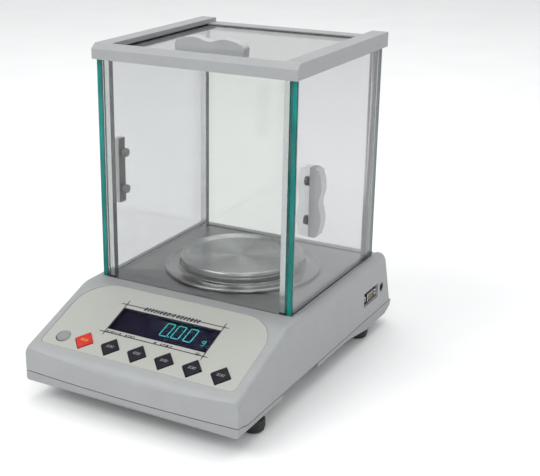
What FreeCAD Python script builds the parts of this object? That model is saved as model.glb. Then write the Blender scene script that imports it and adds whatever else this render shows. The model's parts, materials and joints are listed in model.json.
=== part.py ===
import FreeCAD, Part
import math
import os
import re
import Sketcher

# Analytical balance with a glass draught shield, in millimetres.
# +X is the user's right, +Y points away from the user, +Z is up.
# The origin is on the bench, under the middle of the balance.

doc = FreeCAD.newDocument("AnalyticalBalance")

# ---------------------------------------------------------------- sizes

SIZES = [
    ("body_width", 208, "case, side to side"),
    ("body_length", 318, "case, front to back"),
    ("deck_height", 79, "top of the steel deck plate above the bench"),
    ("deck_lip", 0.8, "case edge above the deck plate"),
    ("wall", 3, "case wall"),
    ("side_round", 5.5, "rounding of the case's side edges"),
    ("front_bow", 3.5, "how far the middle of the front stands forward"),
    ("slope_angle", 19.8, "control panel, degrees from level"),
    ("slope_top", -70, "y of the crease where the panel meets the deck"),
    ("nose_round", 11, "rounding above the front face"),
    ("rear_run", 18.5, "how far the rear face leans out to its foot"),
    ("parting_front", 26.5, "height of the case joint at the front"),
    ("parting_side", 23.7, "height of the case joint along the sides"),
    ("cover_bottom", 17, "underside of the bottom cover"),
    ("parting_groove", 0.8, "height of the fine groove around the case joint"),
    ("cover_round", 3, "rounding of the bottom cover's lower side edges"),
    ("cover_belly", 12.5, "lowest line of the bottom cover, at the back"),
    ("grip_front", -79.5, "front end of the finger recess"),
    ("grip_rear", -12, "rear end of the finger recess"),
    ("frame_width", 195, "top frame, side to side"),
    ("frame_front", -54.5, "front face of the top frame"),
    ("frame_depth", 185.7, "top frame, front to back"),
    ("frame_under", 278.4, "underside of the top frame"),
    ("frame_face", 287.2, "top of the front bar's upright face"),
    ("frame_top", 291.5, "top of the frame"),
    ("chamfer_run", 5.2, "front bar's chamfer, front to back"),
    ("bar_depth", 8.4, "front bar, front to back"),
    ("rail_width", 15.5, "side rail, across"),
    ("rear_bar_top", 287.7, "top of the rear cap"),
    ("glass", 5, "side door glass"),
    ("door_face", 95.75, "outer face of a side door from the middle"),
    ("door_front", -49.8, "front edge of the side doors"),
    ("door_rear", 123, "rear edge of the side doors"),
    ("door_foot", 76.7, "lower edge of the side doors"),
    ("door_head", 281, "upper edge of the side doors"),
    ("thin_glass", 3, "fixed glass, front and back"),
    ("lid_glass", 4, "top door glass"),
    ("lid_bed", 282.3, "underside of the top door glass"),
    ("post", 6, "chrome post, square"),
    ("post_face", 83.7, "inner face of a post from the middle"),
    ("front_post", -48, "front face of the front posts"),
    ("rear_post", 115.5, "front face of the rear posts"),
    ("slip", 0.3, "room around what slides or drops in"),
    ("fit_gap", 0.05, "radial room of a running fit"),
    ("track_wall", 0.7, "wall of the door tracks"),
    ("plate", 1, "deck plate thickness"),
    ("pan_y", 37.5, "weighing pan's axis, front to back"),
    ("pan_radius", 56, "weighing pan, over the rim"),
    ("ring_radius", 71, "draught ring, over the bead"),
    ("handle_y", -18.5, "the three door handles, front to back"),
    ("handle_width", 10, "door handles, along the glass"),
    ("knob_radius", 4, "clamping knobs inside the doors"),
    ("grip_height", 172, "middle of the side door grips above the bench"),
    ("side_reach", 11, "side door grips, off the glass"),
    ("lid_reach", 13, "top door grip, off the glass"),
    ("lid_half", 86.3, "half the width of the top door glass"),
    ("lid_front", -45.9, "front edge of the top door glass"),
    ("lid_rear", 124, "rear edge of the top door glass"),
    ("key_pitch", 26.5, "spacing of the keys"),
    ("key_first", -56.1, "first key from the middle"),
    ("key_drop", -69.5, "row of keys, down the slope from the crease"),
    ("key_half_x", 9.3, "key, middle to its side corners"),
    ("key_half_y", 10.2, "key, middle to its upper and lower corners"),
    ("window_width", 96.7, "display window, across"),
    ("window_height", 27.8, "display window, down the slope"),
    ("window_x", 3, "display window's middle"),
    ("window_drop", -35.4, "display window's middle, down the slope"),
    ("overlay_half", 94.5, "half the width of the panel overlay"),
    ("level_x", -77.7, "spirit level from the middle"),
    ("level_drop", -70, "spirit level, down the slope"),
    ("foot_x", 91, "feet from the middle, across"),
    ("foot_y", 107, "feet from the middle, front to back"),
    ("foot_radius", 10, "levelling foot"),
    ("foot_height", 11.5, "levelling foot's pad"),
    ("stud_radius", 3, "levelling stud"),
    ("port_y", 105.5, "serial connector's middle"),
    ("port_z", 45, "connectors' middle height"),
    ("jack_y", 131.5, "power jack's middle"),
    ("plate_floor", 22, "underside of the chassis plate"),
    ("cell_floor", 36, "underside of the load cell"),
    ("cell_top", 58, "top of the load cell"),
    ("board_floor", 36, "underside of the main board"),
]

sheet = doc.addObject("Spreadsheet::Sheet", "Sizes")
for row, (alias, amount, note) in enumerate(SIZES, 1):
    sheet.set(f"A{row}", note)
    sheet.set(f"B{row}", str(amount))
    sheet.setAlias(f"B{row}", alias)
doc.recompute()

ALIASES = {alias for alias, amount, note in SIZES}
parts = {}


def size(alias):
    """One driving size, read from the sheet."""
    return float(sheet.get(alias))


def formula(text):
    """Point every size named in a formula at its cell in the sheet."""
    return re.sub(
        r"[a-z_]+",
        lambda word: "Sizes." + word[0] if word[0] in ALIASES else word[0],
        str(text),
    )


def keep(label, shape_object):
    """Name a finished sub-part; its label is its node and its file."""
    shape_object.Label = label
    parts[label] = shape_object
    return shape_object


# ------------------------------------------------------------- primitives

def block(name, x, y, z):
    """A block between two formulas in each direction."""
    item = doc.addObject("Part::Box", name)
    for side, axis, (low, high) in zip(("Length", "Width", "Height"), "xyz", (x, y, z)):
        item.setExpression(side, formula(f"({high}) - ({low})"))
        item.setExpression(f"Placement.Base.{axis}", formula(low))
    return item


TURNS = {
    "x": FreeCAD.Rotation(FreeCAD.Vector(0, 1, 0), 90),
    "y": FreeCAD.Rotation(FreeCAD.Vector(1, 0, 0), -90),
    "z": FreeCAD.Rotation(),
}


def rod(name, start, radius, length, axis="z"):
    """A cylinder that starts at three formulas and runs along one axis."""
    item = doc.addObject("Part::Cylinder", name)
    item.setExpression("Radius", formula(radius))
    item.setExpression("Height", formula(length))
    item.Placement = FreeCAD.Placement(FreeCAD.Vector(), TURNS[axis])
    for letter, text in zip("xyz", start):
        item.setExpression(f"Placement.Base.{letter}", formula(text))
    return item


def join(name, items):
    """Several solids as one object; solids that don't touch stay separate."""
    if len(items) == 1:
        return items[0]
    item = doc.addObject("Part::MultiFuse", name)
    item.Shapes = items
    return item


def cut(name, base, tools):
    """A solid with one or more tools taken away."""
    item = doc.addObject("Part::Cut", name)
    item.Base = base
    item.Tool = join(name + "_tools", tools)
    return item


# --------------------------------------------------------- bodies by sketch

def outline(body, plane, corners, offset="0", name="Profile"):
    """A closed outline in one of a body's own planes, each corner held by two formulas."""
    sketch = body.newObject("Sketcher::SketchObject", name)
    support = next(item for item in body.Origin.OriginFeatures if item.Role == plane)
    sketch.AttachmentSupport = [(support, "")]
    sketch.MapMode = "FlatFace"
    sketch.setExpression("AttachmentOffset.Base.z", formula(offset))
    count = len(corners)
    angles = [2 * math.pi * index / count for index in range(count)]
    start = [FreeCAD.Vector(math.cos(angle), math.sin(angle), 0) for angle in angles]
    for index in range(count):
        sketch.addGeometry(Part.LineSegment(start[index], start[(index + 1) % count]), False)
    for index in range(count):
        sketch.addConstraint(Sketcher.Constraint("Coincident", index, 2, (index + 1) % count, 1))
    for index, pair in enumerate(corners):
        guess = (start[index].x, start[index].y)
        for kind, text, first in zip(("DistanceX", "DistanceY"), pair, guess):
            held = sketch.addConstraint(Sketcher.Constraint(kind, -1, 1, index, 1, first))
            sketch.setExpression(f"Constraints[{held}]", formula(text))
    return sketch


def padded(name, plane, corners, length, offset="0", midplane=True):
    """A body that is one outline, padded."""
    body = doc.addObject("PartDesign::Body", name)
    pad = body.newObject("PartDesign::Pad", name + "_pad")
    pad.Profile = outline(body, plane, corners, offset)
    pad.setExpression("Length", formula(length))
    pad.Midplane = midplane
    doc.recompute()
    return body


def turned(name, corners, centre):
    """A body that is one outline turned about the vertical; corners are (radius, height)."""
    body = doc.addObject("PartDesign::Body", name)
    revolution = body.newObject("PartDesign::Revolution", name + "_turn")
    sketch = outline(body, "XZ_Plane", corners)
    revolution.Profile = sketch
    revolution.ReferenceAxis = (sketch, ["V_Axis"])
    revolution.Angle = 360
    for letter, text in zip("xyz", centre):
        body.setExpression(f"Placement.Base.{letter}", formula(text))
    doc.recompute()
    return body


def chosen_edges(shape, wanted):
    """Names of the edges that a test picks."""
    return [f"Edge{index}" for index, edge in enumerate(shape.Edges, 1) if wanted(edge)]


def rounded(body, radius, wanted, name):
    """Round the edges of a body's latest feature that a test picks."""
    tip = body.Tip
    names = chosen_edges(tip.Shape, wanted)
    fillet = body.newObject("PartDesign::Fillet", name)
    fillet.Base = (tip, names)
    fillet.setExpression("Radius", formula(radius))
    doc.recompute()
    return fillet


def ends(edge):
    """The highest and lowest values of an edge's box: x, y, z pairs."""
    box = edge.BoundBox
    return (box.XMin, box.XMax), (box.YMin, box.YMax), (box.ZMin, box.ZMax)


def near(first, second):
    """True where two coordinates are the same point on the model."""
    return abs(first - second) < 0.02


def across(edge):
    """True for an edge that runs the whole width of its solid."""
    (low, high), depth, height = ends(edge)
    return near(low, -high) and high > 50


# ------------------------------------------------- the slope of the panel

CREASE_Z = "deck_height + deck_lip"


def on_slope(item):
    """Lay an item drawn flat at the origin onto the panel: y runs up the slope, z stands off it."""
    if item.TypeId in ("Part::Box", "Part::Cylinder"):
        flat = item
        item = doc.addObject("Part::Compound", flat.Name + "_on_slope")
        item.Links = [flat]
    turn = FreeCAD.Rotation(FreeCAD.Vector(1, 0, 0), size("slope_angle"))
    item.Placement = FreeCAD.Placement(FreeCAD.Vector(0, 0, 0), turn)
    item.setExpression("Placement.Base.y", formula("slope_top"))
    item.setExpression("Placement.Base.z", formula(CREASE_Z))
    item.setExpression("Placement.Rotation.Angle", formula("slope_angle"))
    return item


# ---------------------------------------------------------------- housing

FRONT = "-body_length / 2"
REAR = "body_length / 2"
SLOPE_DROP = "tan(slope_angle * 1deg)"
PARTING = [
    (REAR, "parting_side"),
    ("-body_length / 2 + 18", "parting_side"),
    ("-body_length / 2 + 8", "parting_front"),
    (FRONT, "parting_front"),
]


def bow_cut(name):
    """The sliver in front of the gently bowed front face."""
    bow = "(body_width * body_width / (8 * front_bow) + front_bow / 2)"
    run = ("-body_length / 2 - 20", "-body_length / 2 + 20")
    stock = block(name + "_stock", ("-body_width", "body_width"), run, ("0", "deck_height"))
    drum = rod(name + "_drum", ("0", f"-body_length / 2 + {bow}", "-1"), bow, "deck_height + 2")
    return cut(name, stock, [drum])


def slope_height(y, inset="0"):
    """Height of the panel's plane at y, sunk square to the plane by inset."""
    sink = f"({inset}) / cos(slope_angle * 1deg)"
    return f"deck_height + deck_lip - (slope_top - ({y})) * {SLOPE_DROP} - {sink}"


def upright_corner(edge, low):
    """True for an edge on the case's side planes that reaches above a height."""
    (left, right), depth, (bottom, top) = ends(edge)
    return near(left, right) and near(abs(left), size("body_width") / 2) and top > low


def make_upper_housing():
    """The upper case: shell, panel recess, deck recesses, connector openings and screw bosses."""
    top = CREASE_Z
    side_profile = [
        (FRONT, slope_height(FRONT)),
        ("slope_top", top),
        ("body_length / 2 - rear_run", top),
    ] + PARTING
    body = padded("housing_block", "YZ_Plane", side_profile, "body_width")
    front_y = -size("body_length") / 2
    crease_y = size("slope_top")
    rear_y = size("body_length") / 2 - size("rear_run")
    for name, radius, y, low in (
        ("nose_fillet", "nose_round", front_y, 40),
        ("crease_fillet", "30", crease_y, 40),
        ("rear_fillet", "15", rear_y, 70),
    ):
        rounded(body, radius,
                lambda e: across(e) and near(ends(e)[1][0], y) and ends(e)[2][1] > low, name)
    rounded(body, "side_round", lambda e: upright_corner(e, 30), "side_fillet")

    inner_front = "-body_length / 2 + wall + front_bow"
    inner_rear = "body_length / 2 - rear_run - wall"
    inner = padded("housing_inner", "YZ_Plane", [
        (inner_front, slope_height(f"{inner_front} + 5", "wall + 0.8") + " - 4"),
        (f"{inner_front} + 7", slope_height(f"{inner_front} + 7", "wall + 0.8")),
        ("slope_top", f"{top} - wall - 0.8"),
        (f"{inner_rear} - 8", f"{top} - wall - 0.8"),
        (inner_rear, f"{top} - wall - 8"),
        ("body_length / 2 - wall - 1", "0"),
        (inner_front, "0"),
    ], "body_width - 2 * wall")
    bosses = []
    for name, x, y, floor, head in case_bosses():
        height = f"{head} - ({BOSS_JOINT})"
        bosses.append(rod(f"boss_{name}", (x, y, BOSS_JOINT), "4.5", height))
    bosses += housing_ribs() + [on_slope(board_posts())]
    shell = cut("housing_shell", cut("housing_bowed", body, [bow_cut("housing_bow")]), [inner])
    ribbed = join("housing_bossed", [shell] + bosses)
    tools = deck_tools() + [on_slope(panel_tools())] + port_tools()
    for name, x, y, floor, head in case_bosses():
        depth = f"{head} - parting_side - 5"
        tools.append(rod(f"boss_hole_{name}", (x, y, "parting_side"), "1.5", depth))
    return keep("upper_housing", cut("housing", ribbed, tools))


BOSS_JOINT = "parting_side + 2.5"


def case_bosses():
    """Screw bosses: name, x, y, the floor they start from and the height they reach."""
    front_y, rear_y = "-body_length / 2 + 28", "body_length / 2 - 28"
    for side, sign in (("left", "-"), ("right", "")):
        yield f"front_{side}", f"{sign}(foot_x - 4)", front_y, "cover_bottom + 1", "42"
        yield f"rear_{side}", f"{sign}(foot_x - 50)", rear_y, "cover_belly + 1", "60"


def housing_ribs():
    """Ribs from the bosses to the walls, beds under the tracks, roofs over the finger recesses."""
    ribs = []
    for name, span in sides():
        ribs.append(block(
            f"front_rib_{name}", span("foot_x - 4", "body_width / 2 - 2"),
            ("-body_length / 2 + 27", "-body_length / 2 + 29"), ("parting_side + 4", "42")))
        ribs.append(block(
            f"rear_rib_{name}", span("foot_x - 51", "foot_x - 49"),
            ("body_length / 2 - 28", "body_length / 2 - 15"), ("parting_side + 4", "58")))
        ribs.append(block(
            f"track_rib_{name}", span(f"{TRACK_IN} - 1.9", f"{TRACK_OUT} + 2"),
            ("door_front - 3", "body_length / 2 - rear_run - 5"),
            (f"{TRACK_FLOOR} - 2", "door_foot - 0.4")))
        ribs.append(block(
            f"grip_roof_{name}", span("body_width / 2 - 16.5", "body_width / 2 - 2"),
            ("grip_front - 2.5", "grip_rear + 2.5"), ("parting_side", "parting_side + 2.5")))
    return ribs


BOARD_POSTS = (("-62", "-22"), ("76", "-22"), ("-62", "-50"), ("76", "-50"))


def board_posts():
    """Staked posts behind the panel that hold the display board, drawn flat."""
    posts = []
    for index, (x, drop) in enumerate(BOARD_POSTS):
        posts.append(rod(f"board_post_{index}", (x, drop, "-12.9"), "2.5", "10"))
        posts.append(rod(f"board_pin_{index}", (x, drop, "-15.2"), "1.2", "3"))
    return join("board_posts", posts)


TRACK_IN = "door_face - glass - slip - track_wall"
TRACK_OUT = "door_face + slip + track_wall"
TRACK_FLOOR = "door_foot - slip - track_wall"
FRONT_GROOVE = ("front_post - 0.4 - thin_glass - 0.4", "front_post - 0.4")
REAR_GROOVE = ("rear_post + post", "rear_post + post + thin_glass + 0.8")


def deck_tools():
    """Recesses in the deck: plate, fixed glass, door tracks and the spindle's hole."""
    above = "deck_height + 20"
    tools = [block(
        "deck_recess", (f"-({TRACK_OUT})", TRACK_OUT),
        ("front_post - 0.4", "rear_post + post + 0.6"), ("deck_height - plate", above))]
    for end, run in (("front", FRONT_GROOVE), ("rear", REAR_GROOVE)):
        tools.append(block(
            f"{end}_glass_slot", (f"-({TRACK_IN}) - 0.7", f"{TRACK_IN} + 0.7"), run,
            ("deck_height - 2.6", above)))
    for name, span in sides():
        tools.append(block(
            f"track_bed_{name}", span(f"{TRACK_IN} - 0.1", f"{TRACK_OUT} + 0.1"),
            ("door_front - 1", "body_length / 2 + 5"), (TRACK_FLOOR, above)))
    tools.append(rod("spindle_hole", ("0", "pan_y", "deck_height - 10"), "11", "30"))
    for name, x, y, post_front in post_places():
        tools.append(rod(f"post_hole_{name}", (x, y, "deck_height - 9"), "1.55", "12"))
    return tools


WINDOW_LEFT = "window_x - window_width / 2"
WINDOW_RIGHT = "window_x + window_width / 2"
WINDOW_LOW = "window_drop - window_height / 2"
WINDOW_HIGH = "window_drop + window_height / 2"


def window_block(name, margin, stand):
    """A flat block as large as the display window and a margin all round, between two heights."""
    return block(
        name, (f"{WINDOW_LEFT} - {margin}", f"{WINDOW_RIGHT} + {margin}"),
        (f"{WINDOW_LOW} - {margin}", f"{WINDOW_HIGH} + {margin}"), stand)


def panel_tools():
    """Everything cut into the panel, drawn flat: overlay recess, window, keys and level."""
    tools = [
        overlay_blank("overlay_recess", "-0.8", "6", "0.3"),
        window_block("window_hole", "0.2", ("-20", "1")),
    ]
    for name, x in key_places():
        tools.append(diamond(f"key_hole_{name}", x, "0.35", "-12", "13"))
    tools.append(rod("level_hole", ("level_x", "level_drop", "-20"), "8.2", "21"))
    return join("panel_cuts", tools)


def overlay_blank(name, floor, height, extra):
    """The overlay's outline as a flat solid: big round upper corners, small lower ones."""
    side = f"(overlay_half + {extra})"
    low, high = f"-82 - {extra}", f"2.6 + {extra}"
    body = padded(name, "XY_Plane", [
        (f"-{side}", low), (side, low), (side, high), (f"-{side}", high),
    ], height, floor, False)

    def upright(edge, upper):
        box = edge.BoundBox
        return near(box.XMin, box.XMax) and near(box.YMin, box.YMax) and (box.YMin > 0) == upper

    rounded(body, f"32 + {extra}", lambda e: upright(e, True), name + "_upper")
    rounded(body, "5", lambda e: upright(e, False) and e.BoundBox.YMin < -80, name + "_lower")
    return body


KEY_NAMES = ("power", "cal", "unit", "count", "print", "tare")


def key_places():
    """Each key's name and its place across the panel."""
    for index, name in enumerate(KEY_NAMES):
        yield name, f"key_first + {index} * key_pitch"


def diamond(name, x, margin, floor, height):
    """A diamond-shaped prism drawn flat on the panel: a key's outline and a margin."""
    half_x, half_y = f"(key_half_x + {margin})", f"(key_half_y + {margin})"
    return padded(name, "XY_Plane", [
        (f"{x} - {half_x}", "key_drop"), (x, f"key_drop - {half_y}"),
        (f"{x} + {half_x}", "key_drop"), (x, f"key_drop + {half_y}"),
    ], height, floor, False)


def port_tools():
    """Openings in the right side for the serial connector and the power jack."""
    face = "body_width / 2"
    tools = []
    for name, depth, half_y, half_z in (
        ("port_recess", "1.2", "17", "7.2"),
        ("port_hole", "8", "16", "6.6"),
    ):
        tools.append(block(
            name, (f"{face} - {depth}", f"{face} + 5"),
            (f"port_y - {half_y}", f"port_y + {half_y}"), (f"port_z - {half_z}", f"port_z + {half_z}")))
    tools.append(rod("jack_hole", (f"{face} - 8", "jack_y", "port_z"), "4.6", "20", "x"))
    return tools


def parting_groove():
    """The fine groove around the joint of the case, sunk into the cover's upper edge."""
    shift = "parting_groove"
    upper = [(y, height) for y, height in PARTING]
    lower = [(y, f"{height} - {shift}") for y, height in reversed(PARTING)]
    band = padded("groove_band", "YZ_Plane", upper + lower, "body_width + 10")
    core = block(
        "groove_core", ("-body_width / 2 + 1.8", "body_width / 2 - 1.8"),
        ("-body_length / 2 + front_bow + 1.8", "body_length / 2 - 2.5"), ("0", "60"))
    return cut("groove", band, [core])


def low_rim(edge, height):
    """True for the cover's lower side edges and the corners they turn into at the front."""
    (left, right), (front, back), (bottom, top) = ends(edge)
    outer = max(abs(left), abs(right)) > size("body_width") / 2 - 6
    return outer and top < height and front < 60 and not across(edge)


def make_bottom_cover():
    """The lower tray of the case, with its finger recesses, screw bosses and foot bosses."""
    body = padded("cover_block", "YZ_Plane", list(reversed(PARTING)) + [
        ("body_length / 2 - 2", "cover_belly + 5"),
        ("body_length / 2 - 14", "cover_belly"),
        ("body_length / 2 - 60", "cover_belly"),
        ("body_length / 2 - 92", "cover_bottom"),
        ("-body_length / 2 + 4", "cover_bottom"),
        (FRONT, "cover_bottom + 4"),
    ], "body_width")
    low_edge = size("cover_bottom") + 0.1
    rounded(body, "side_round", lambda e: upright_corner(e, 0) and near(e.BoundBox.YMin, e.BoundBox.YMax),
            "cover_corners")
    rounded(body, "cover_round", lambda e: low_rim(e, low_edge), "cover_edges")
    inner_front, inner_rear = "-body_length / 2 + wall + front_bow", "body_length / 2 - wall - 2"
    inner = padded("cover_inner", "YZ_Plane", [
        (inner_front, "40"),
        (inner_front, "cover_bottom + 2.5"),
        ("body_length / 2 - 92", "cover_bottom + 2.5"),
        ("body_length / 2 - 60", "cover_belly + 2.5"),
        ("body_length / 2 - 16", "cover_belly + 2.5"),
        (inner_rear, "cover_belly + 8"),
        (inner_rear, "40"),
    ], "body_width - 2 * wall")
    bowed = cut("cover_bowed", body, [bow_cut("cover_bow")])
    tray = cut("cover_tray", bowed, [inner, parting_groove()])
    bosses = []
    holes = []
    for name, x, y, floor, head in case_bosses():
        bosses.append(rod(f"cover_boss_{name}", (x, y, floor), "6", f"{BOSS_JOINT} - ({floor})"))
        holes.append(rod(f"cover_hole_{name}", (x, y, "0"), "1.55", "60"))
        holes.append(rod(f"cover_sink_{name}", (x, y, "0"), "3.4", "cover_bottom + 4"))
    for name, x, y in feet():
        floor = "cover_belly" if "rear" in name else "cover_bottom"
        bosses.append(rod(f"foot_boss_{name}", (x, y, floor), "8", f"cover_bottom + 12 - {floor}"))
        holes.append(rod(f"foot_hole_{name}", (x, y, "0"), "4.5", "60"))
    for name, x, y in chassis_posts():
        height = "plate_floor - cover_bottom - 1"
        bosses.append(rod(f"chassis_boss_{name}", (x, y, "cover_bottom + 1"), "5", height))
        holes.append(rod(f"chassis_pilot_{name}", (x, y, "cover_bottom + 3"), "1.5", "20"))
    for index, (x, y) in enumerate(BOARD_STANDS):
        height = "board_floor - cover_belly - 2.3"
        bosses.append(rod(f"board_stand_{index}", (x, y, "cover_belly + 2.3"), "3", height))
        bosses.append(rod(f"board_stake_{index}", (x, y, "board_floor - 1"), "1.2", "3.6"))
    for name, span in sides():
        holes.append(block(
            f"grip_{name}", span("body_width / 2 - 14", "body_width"),
            ("grip_front", "grip_rear"), ("0", "parting_side + 1")))
        bosses.append(block(
            f"grip_wall_{name}", span("body_width / 2 - 16.5", "body_width / 2 - 14"),
            ("grip_front - 2.5", "grip_rear + 2.5"), ("cover_bottom", "parting_side")))
    for row in range(7):
        y = f"20 + {row} * 7"
        holes.append(block(f"vent_{row}", ("-22", "22"), (y, f"{y} + 3"), ("0", "30")))
    keep("bottom_cover", cut("cover", join("cover_bossed", [tray] + bosses), holes))


def feet():
    """Each foot's name and place."""
    for end, side_y in (("front", "-"), ("rear", "")):
        for side, side_x in (("left", "-"), ("right", "")):
            yield f"{end}_{side}", f"{side_x}foot_x", f"{side_y}foot_y"


BOARD_STANDS = (("57", "85"), ("57", "139"), ("91", "86"), ("91", "140.3"))


def chassis_posts():
    """Bosses that carry the chassis plate."""
    for end, y in (("front", "-85"), ("rear", "58")):
        for side, x in (("left", "-48"), ("right", "48")):
            yield f"{end}_{side}", x, y


def make_case_screws():
    """Four screws that hold the two halves of the case together."""
    screws = []
    for name, x, y, floor, head in case_bosses():
        shank = rod(f"case_shank_{name}", (x, y, "cover_bottom + 3"), "1.5", "15")
        cap = rod(f"case_head_{name}", (x, y, "cover_bottom + 1.2"), "3", "2.8")
        drive = rod(f"case_drive_{name}", (x, y, "cover_bottom"), "1.2", "2.6")
        screws.append(cut(f"case_screw_{name}", join(f"case_screw_{name}_blank", [shank, cap]), [drive]))
    keep("case_screws", join("case_screw_set", screws))


def make_feet():
    """Levelling feet: a threaded insert in the cover, a stud and a knurled pad that turns on it."""
    inserts = []
    for name, x, y in feet():
        sleeve = rod(f"insert_{name}_sleeve", (x, y, "cover_bottom + 1"), "4.5", "11")
        bore = rod(f"insert_{name}_bore", (x, y, "0"), "stud_radius + fit_gap", "60")
        inserts.append(cut(f"insert_{name}", sleeve, [bore]))
        keep(f"foot_stud_{name}", rod(f"stud_{name}", (x, y, "4"), "stud_radius", "30"))
        pad = turned(f"pad_{name}", [
            ("stud_radius + fit_gap", "2.5"), ("1.2", "2.5"), ("1.2", "0"), ("foot_radius - 3", "0"),
            ("foot_radius - 1", "1"), ("foot_radius", "3"),
            ("foot_radius", "foot_height - 2"), ("foot_radius - 1", "foot_height"),
            ("stud_radius + fit_gap", "foot_height")], (x, y, "0"))
        keep(f"foot_{name}", pad)
    keep("foot_inserts", join("foot_insert_set", inserts))


# ---------------------------------------------------------- control panel

def make_overlay():
    """The flat printed sheet on the panel, with its window, key and level openings."""
    tools = [
        window_block("overlay_window", "0.1", ("-3", "3")),
        rod("overlay_level", ("level_x", "level_drop", "-3"), "6.6", "6"),
    ]
    for name, x in key_places():
        tools.append(diamond(f"overlay_key_{name}", x, "0.3", "-3", "6"))
    sheet_blank = overlay_blank("overlay_sheet", "-0.8", "0.6", "0")
    keep("panel_overlay", on_slope(cut("overlay", sheet_blank, tools)))


def make_keys():
    """Six diamond keys that move square to the panel, each with a retaining flange and a stem."""
    for name, x in key_places():
        cap = diamond(f"cap_{name}", x, "0", "-4.6", "5.2")
        flange = diamond(f"flange_{name}", x, "1.9", "-5.6", "1.2")
        stem = rod(f"stem_{name}", (x, "key_drop", "-9.4"), "2", "4")
        keep(f"key_{name}", on_slope(join(f"key_{name}_solid", [cap, flange, stem])))


def make_display():
    """Window, lit display, circuit board and switches behind the panel."""
    keep("display_window", on_slope(window_block("window", "0", ("-3.4", "-0.3"))))
    keep("display_module", on_slope(window_block("module", "2", ("-12.9", "-5"))))
    board = block("panel_board", ("-66", "81"), ("key_drop - 7", f"{WINDOW_HIGH} + 6"), ("-14.5", "-12.9"))
    holes = [rod(f"panel_board_hole_{index}", (x, drop, "-20"), "1.25", "12")
             for index, (x, drop) in enumerate(BOARD_POSTS)]
    keep("display_board", on_slope(cut("panel_board_cut", board, holes)))
    switches = []
    for name, x in key_places():
        base = block(
            f"switch_base_{name}", (f"{x} - 3", f"{x} + 3"), ("key_drop - 3", "key_drop + 3"),
            ("-12.9", "-11"))
        dome = rod(f"switch_dome_{name}", (x, "key_drop", "-11"), "1.7", "0.7")
        switches.append(join(f"switch_{name}", [base, dome]))
    keep("key_switches", on_slope(join("switch_set", switches)))


def level_spot():
    """Where the spirit level's axis meets the panel: y and height."""
    y = "slope_top + level_drop * cos(slope_angle * 1deg)"
    return f"({y})", f"({slope_height(y)})"


def make_level():
    """A round spirit level, moulded upright on a flange that is bonded behind the panel."""
    y, top = level_spot()
    vial = rod("vial_blank", ("level_x", y, f"{top} - 12"), "6.2", "8.5")
    flange = on_slope(rod("vial_flange", ("level_x", "level_drop", "-5.6"), "10", "1.8"))
    hollow = rod("vial_hollow", ("level_x", y, f"{top} - 10"), "5", "5")
    keep("level_vial", cut("vial", join("vial_solid", [vial, flange]), [hollow]))


# ---------------------------------------------------------- chamber floor

def sides():
    """Left and right, with a function that mirrors a span of formulas."""
    yield "left", lambda low, high: (f"-({high})", f"-({low})")
    yield "right", lambda low, high: (low, high)


def make_floor():
    """The steel deck plate and the aluminium tracks that the side doors run in."""
    plate = block(
        "plate_blank", (f"-({TRACK_IN}) + 0.15", f"{TRACK_IN} - 0.15"),
        ("front_post - 0.3", "rear_post + post - 0.1"), ("deck_height - plate", "deck_height"))
    holes = [rod("plate_hole", ("0", "pan_y", "deck_height - 5"), "11", "10")]
    for name, x, y, post_front in post_places():
        holes.append(rod(f"plate_hole_{name}", (x, y, "deck_height - 5"), "1.55", "10"))
    keep("deck_plate", cut("plate_cut", plate, holes))
    for name, span in sides():
        rail = block(
            f"track_{name}_blank", span(TRACK_IN, TRACK_OUT),
            ("door_front - 0.6", "frame_front + frame_depth"), (TRACK_FLOOR, "deck_height + deck_lip"))
        room = block(
            f"track_{name}_room", span("door_face - glass - slip", "door_face + slip"),
            ("door_front - 5", "body_length"), ("door_foot - slip", "deck_height + 20"))
        tools = [room]
        for end, run in (("front", FRONT_GROOVE), ("rear", REAR_GROOVE)):
            tools.append(block(
                f"track_{name}_{end}_notch", span(f"{TRACK_IN} - 1", f"{TRACK_IN} + 1"), run,
                ("door_foot - slip", "deck_height + 20")))
        keep(f"door_track_{name}", cut(f"track_{name}", rail, tools))


def post_places():
    """Each post's name, the x and y of its screws and the formula of its front face."""
    for end, front in (("front", "front_post"), ("rear", "rear_post")):
        for name, span in sides():
            x = span("post_face + 1.8", "post_face + 1.8")[0]
            yield f"{end}_{name}", x, f"{front} + post / 2 + 1", front


def make_posts():
    """Four chrome posts from the deck to the top frame, a screw below and a stud above each."""
    screws = []
    spans = dict(sides())
    under = "deck_height + deck_lip - wall - 0.8"
    for name, x, y, front in post_places():
        span = spans[name.split("_")[1]]
        blank = block(
            f"post_{name}_blank", span("post_face", "post_face + post"), (front, f"{front} + post"),
            ("deck_height", "frame_under"))
        bores = [
            rod(f"post_{name}_bore", (x, y, "deck_height - 1"), "1.55", "13"),
            rod(f"post_{name}_top_bore", (x, y, "frame_under - 10"), "1.55", "12"),
        ]
        keep(f"post_{name}", cut(f"post_{name}_solid", blank, bores))
        shank = rod(f"post_shank_{name}", (x, y, f"{under} - 1"), "1.5", "15")
        head = rod(f"post_head_{name}", (x, y, f"{under} - 2.3"), "2.2", "2.3")
        stud = rod(f"post_stud_{name}", (x, y, "frame_under - 9"), "1.5", "11.4")
        screws += [join(f"post_screw_{name}", [shank, head]), stud]
    keep("post_screws", join("post_screw_set", screws))


# -------------------------------------------------------------- top frame

GLASS_SIDE = f"{TRACK_IN} + 0.5"
RAIL_IN = "frame_width / 2 - rail_width"
DOOR_ROOM = ("door_face - glass - slip", "door_face + slip")


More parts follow.
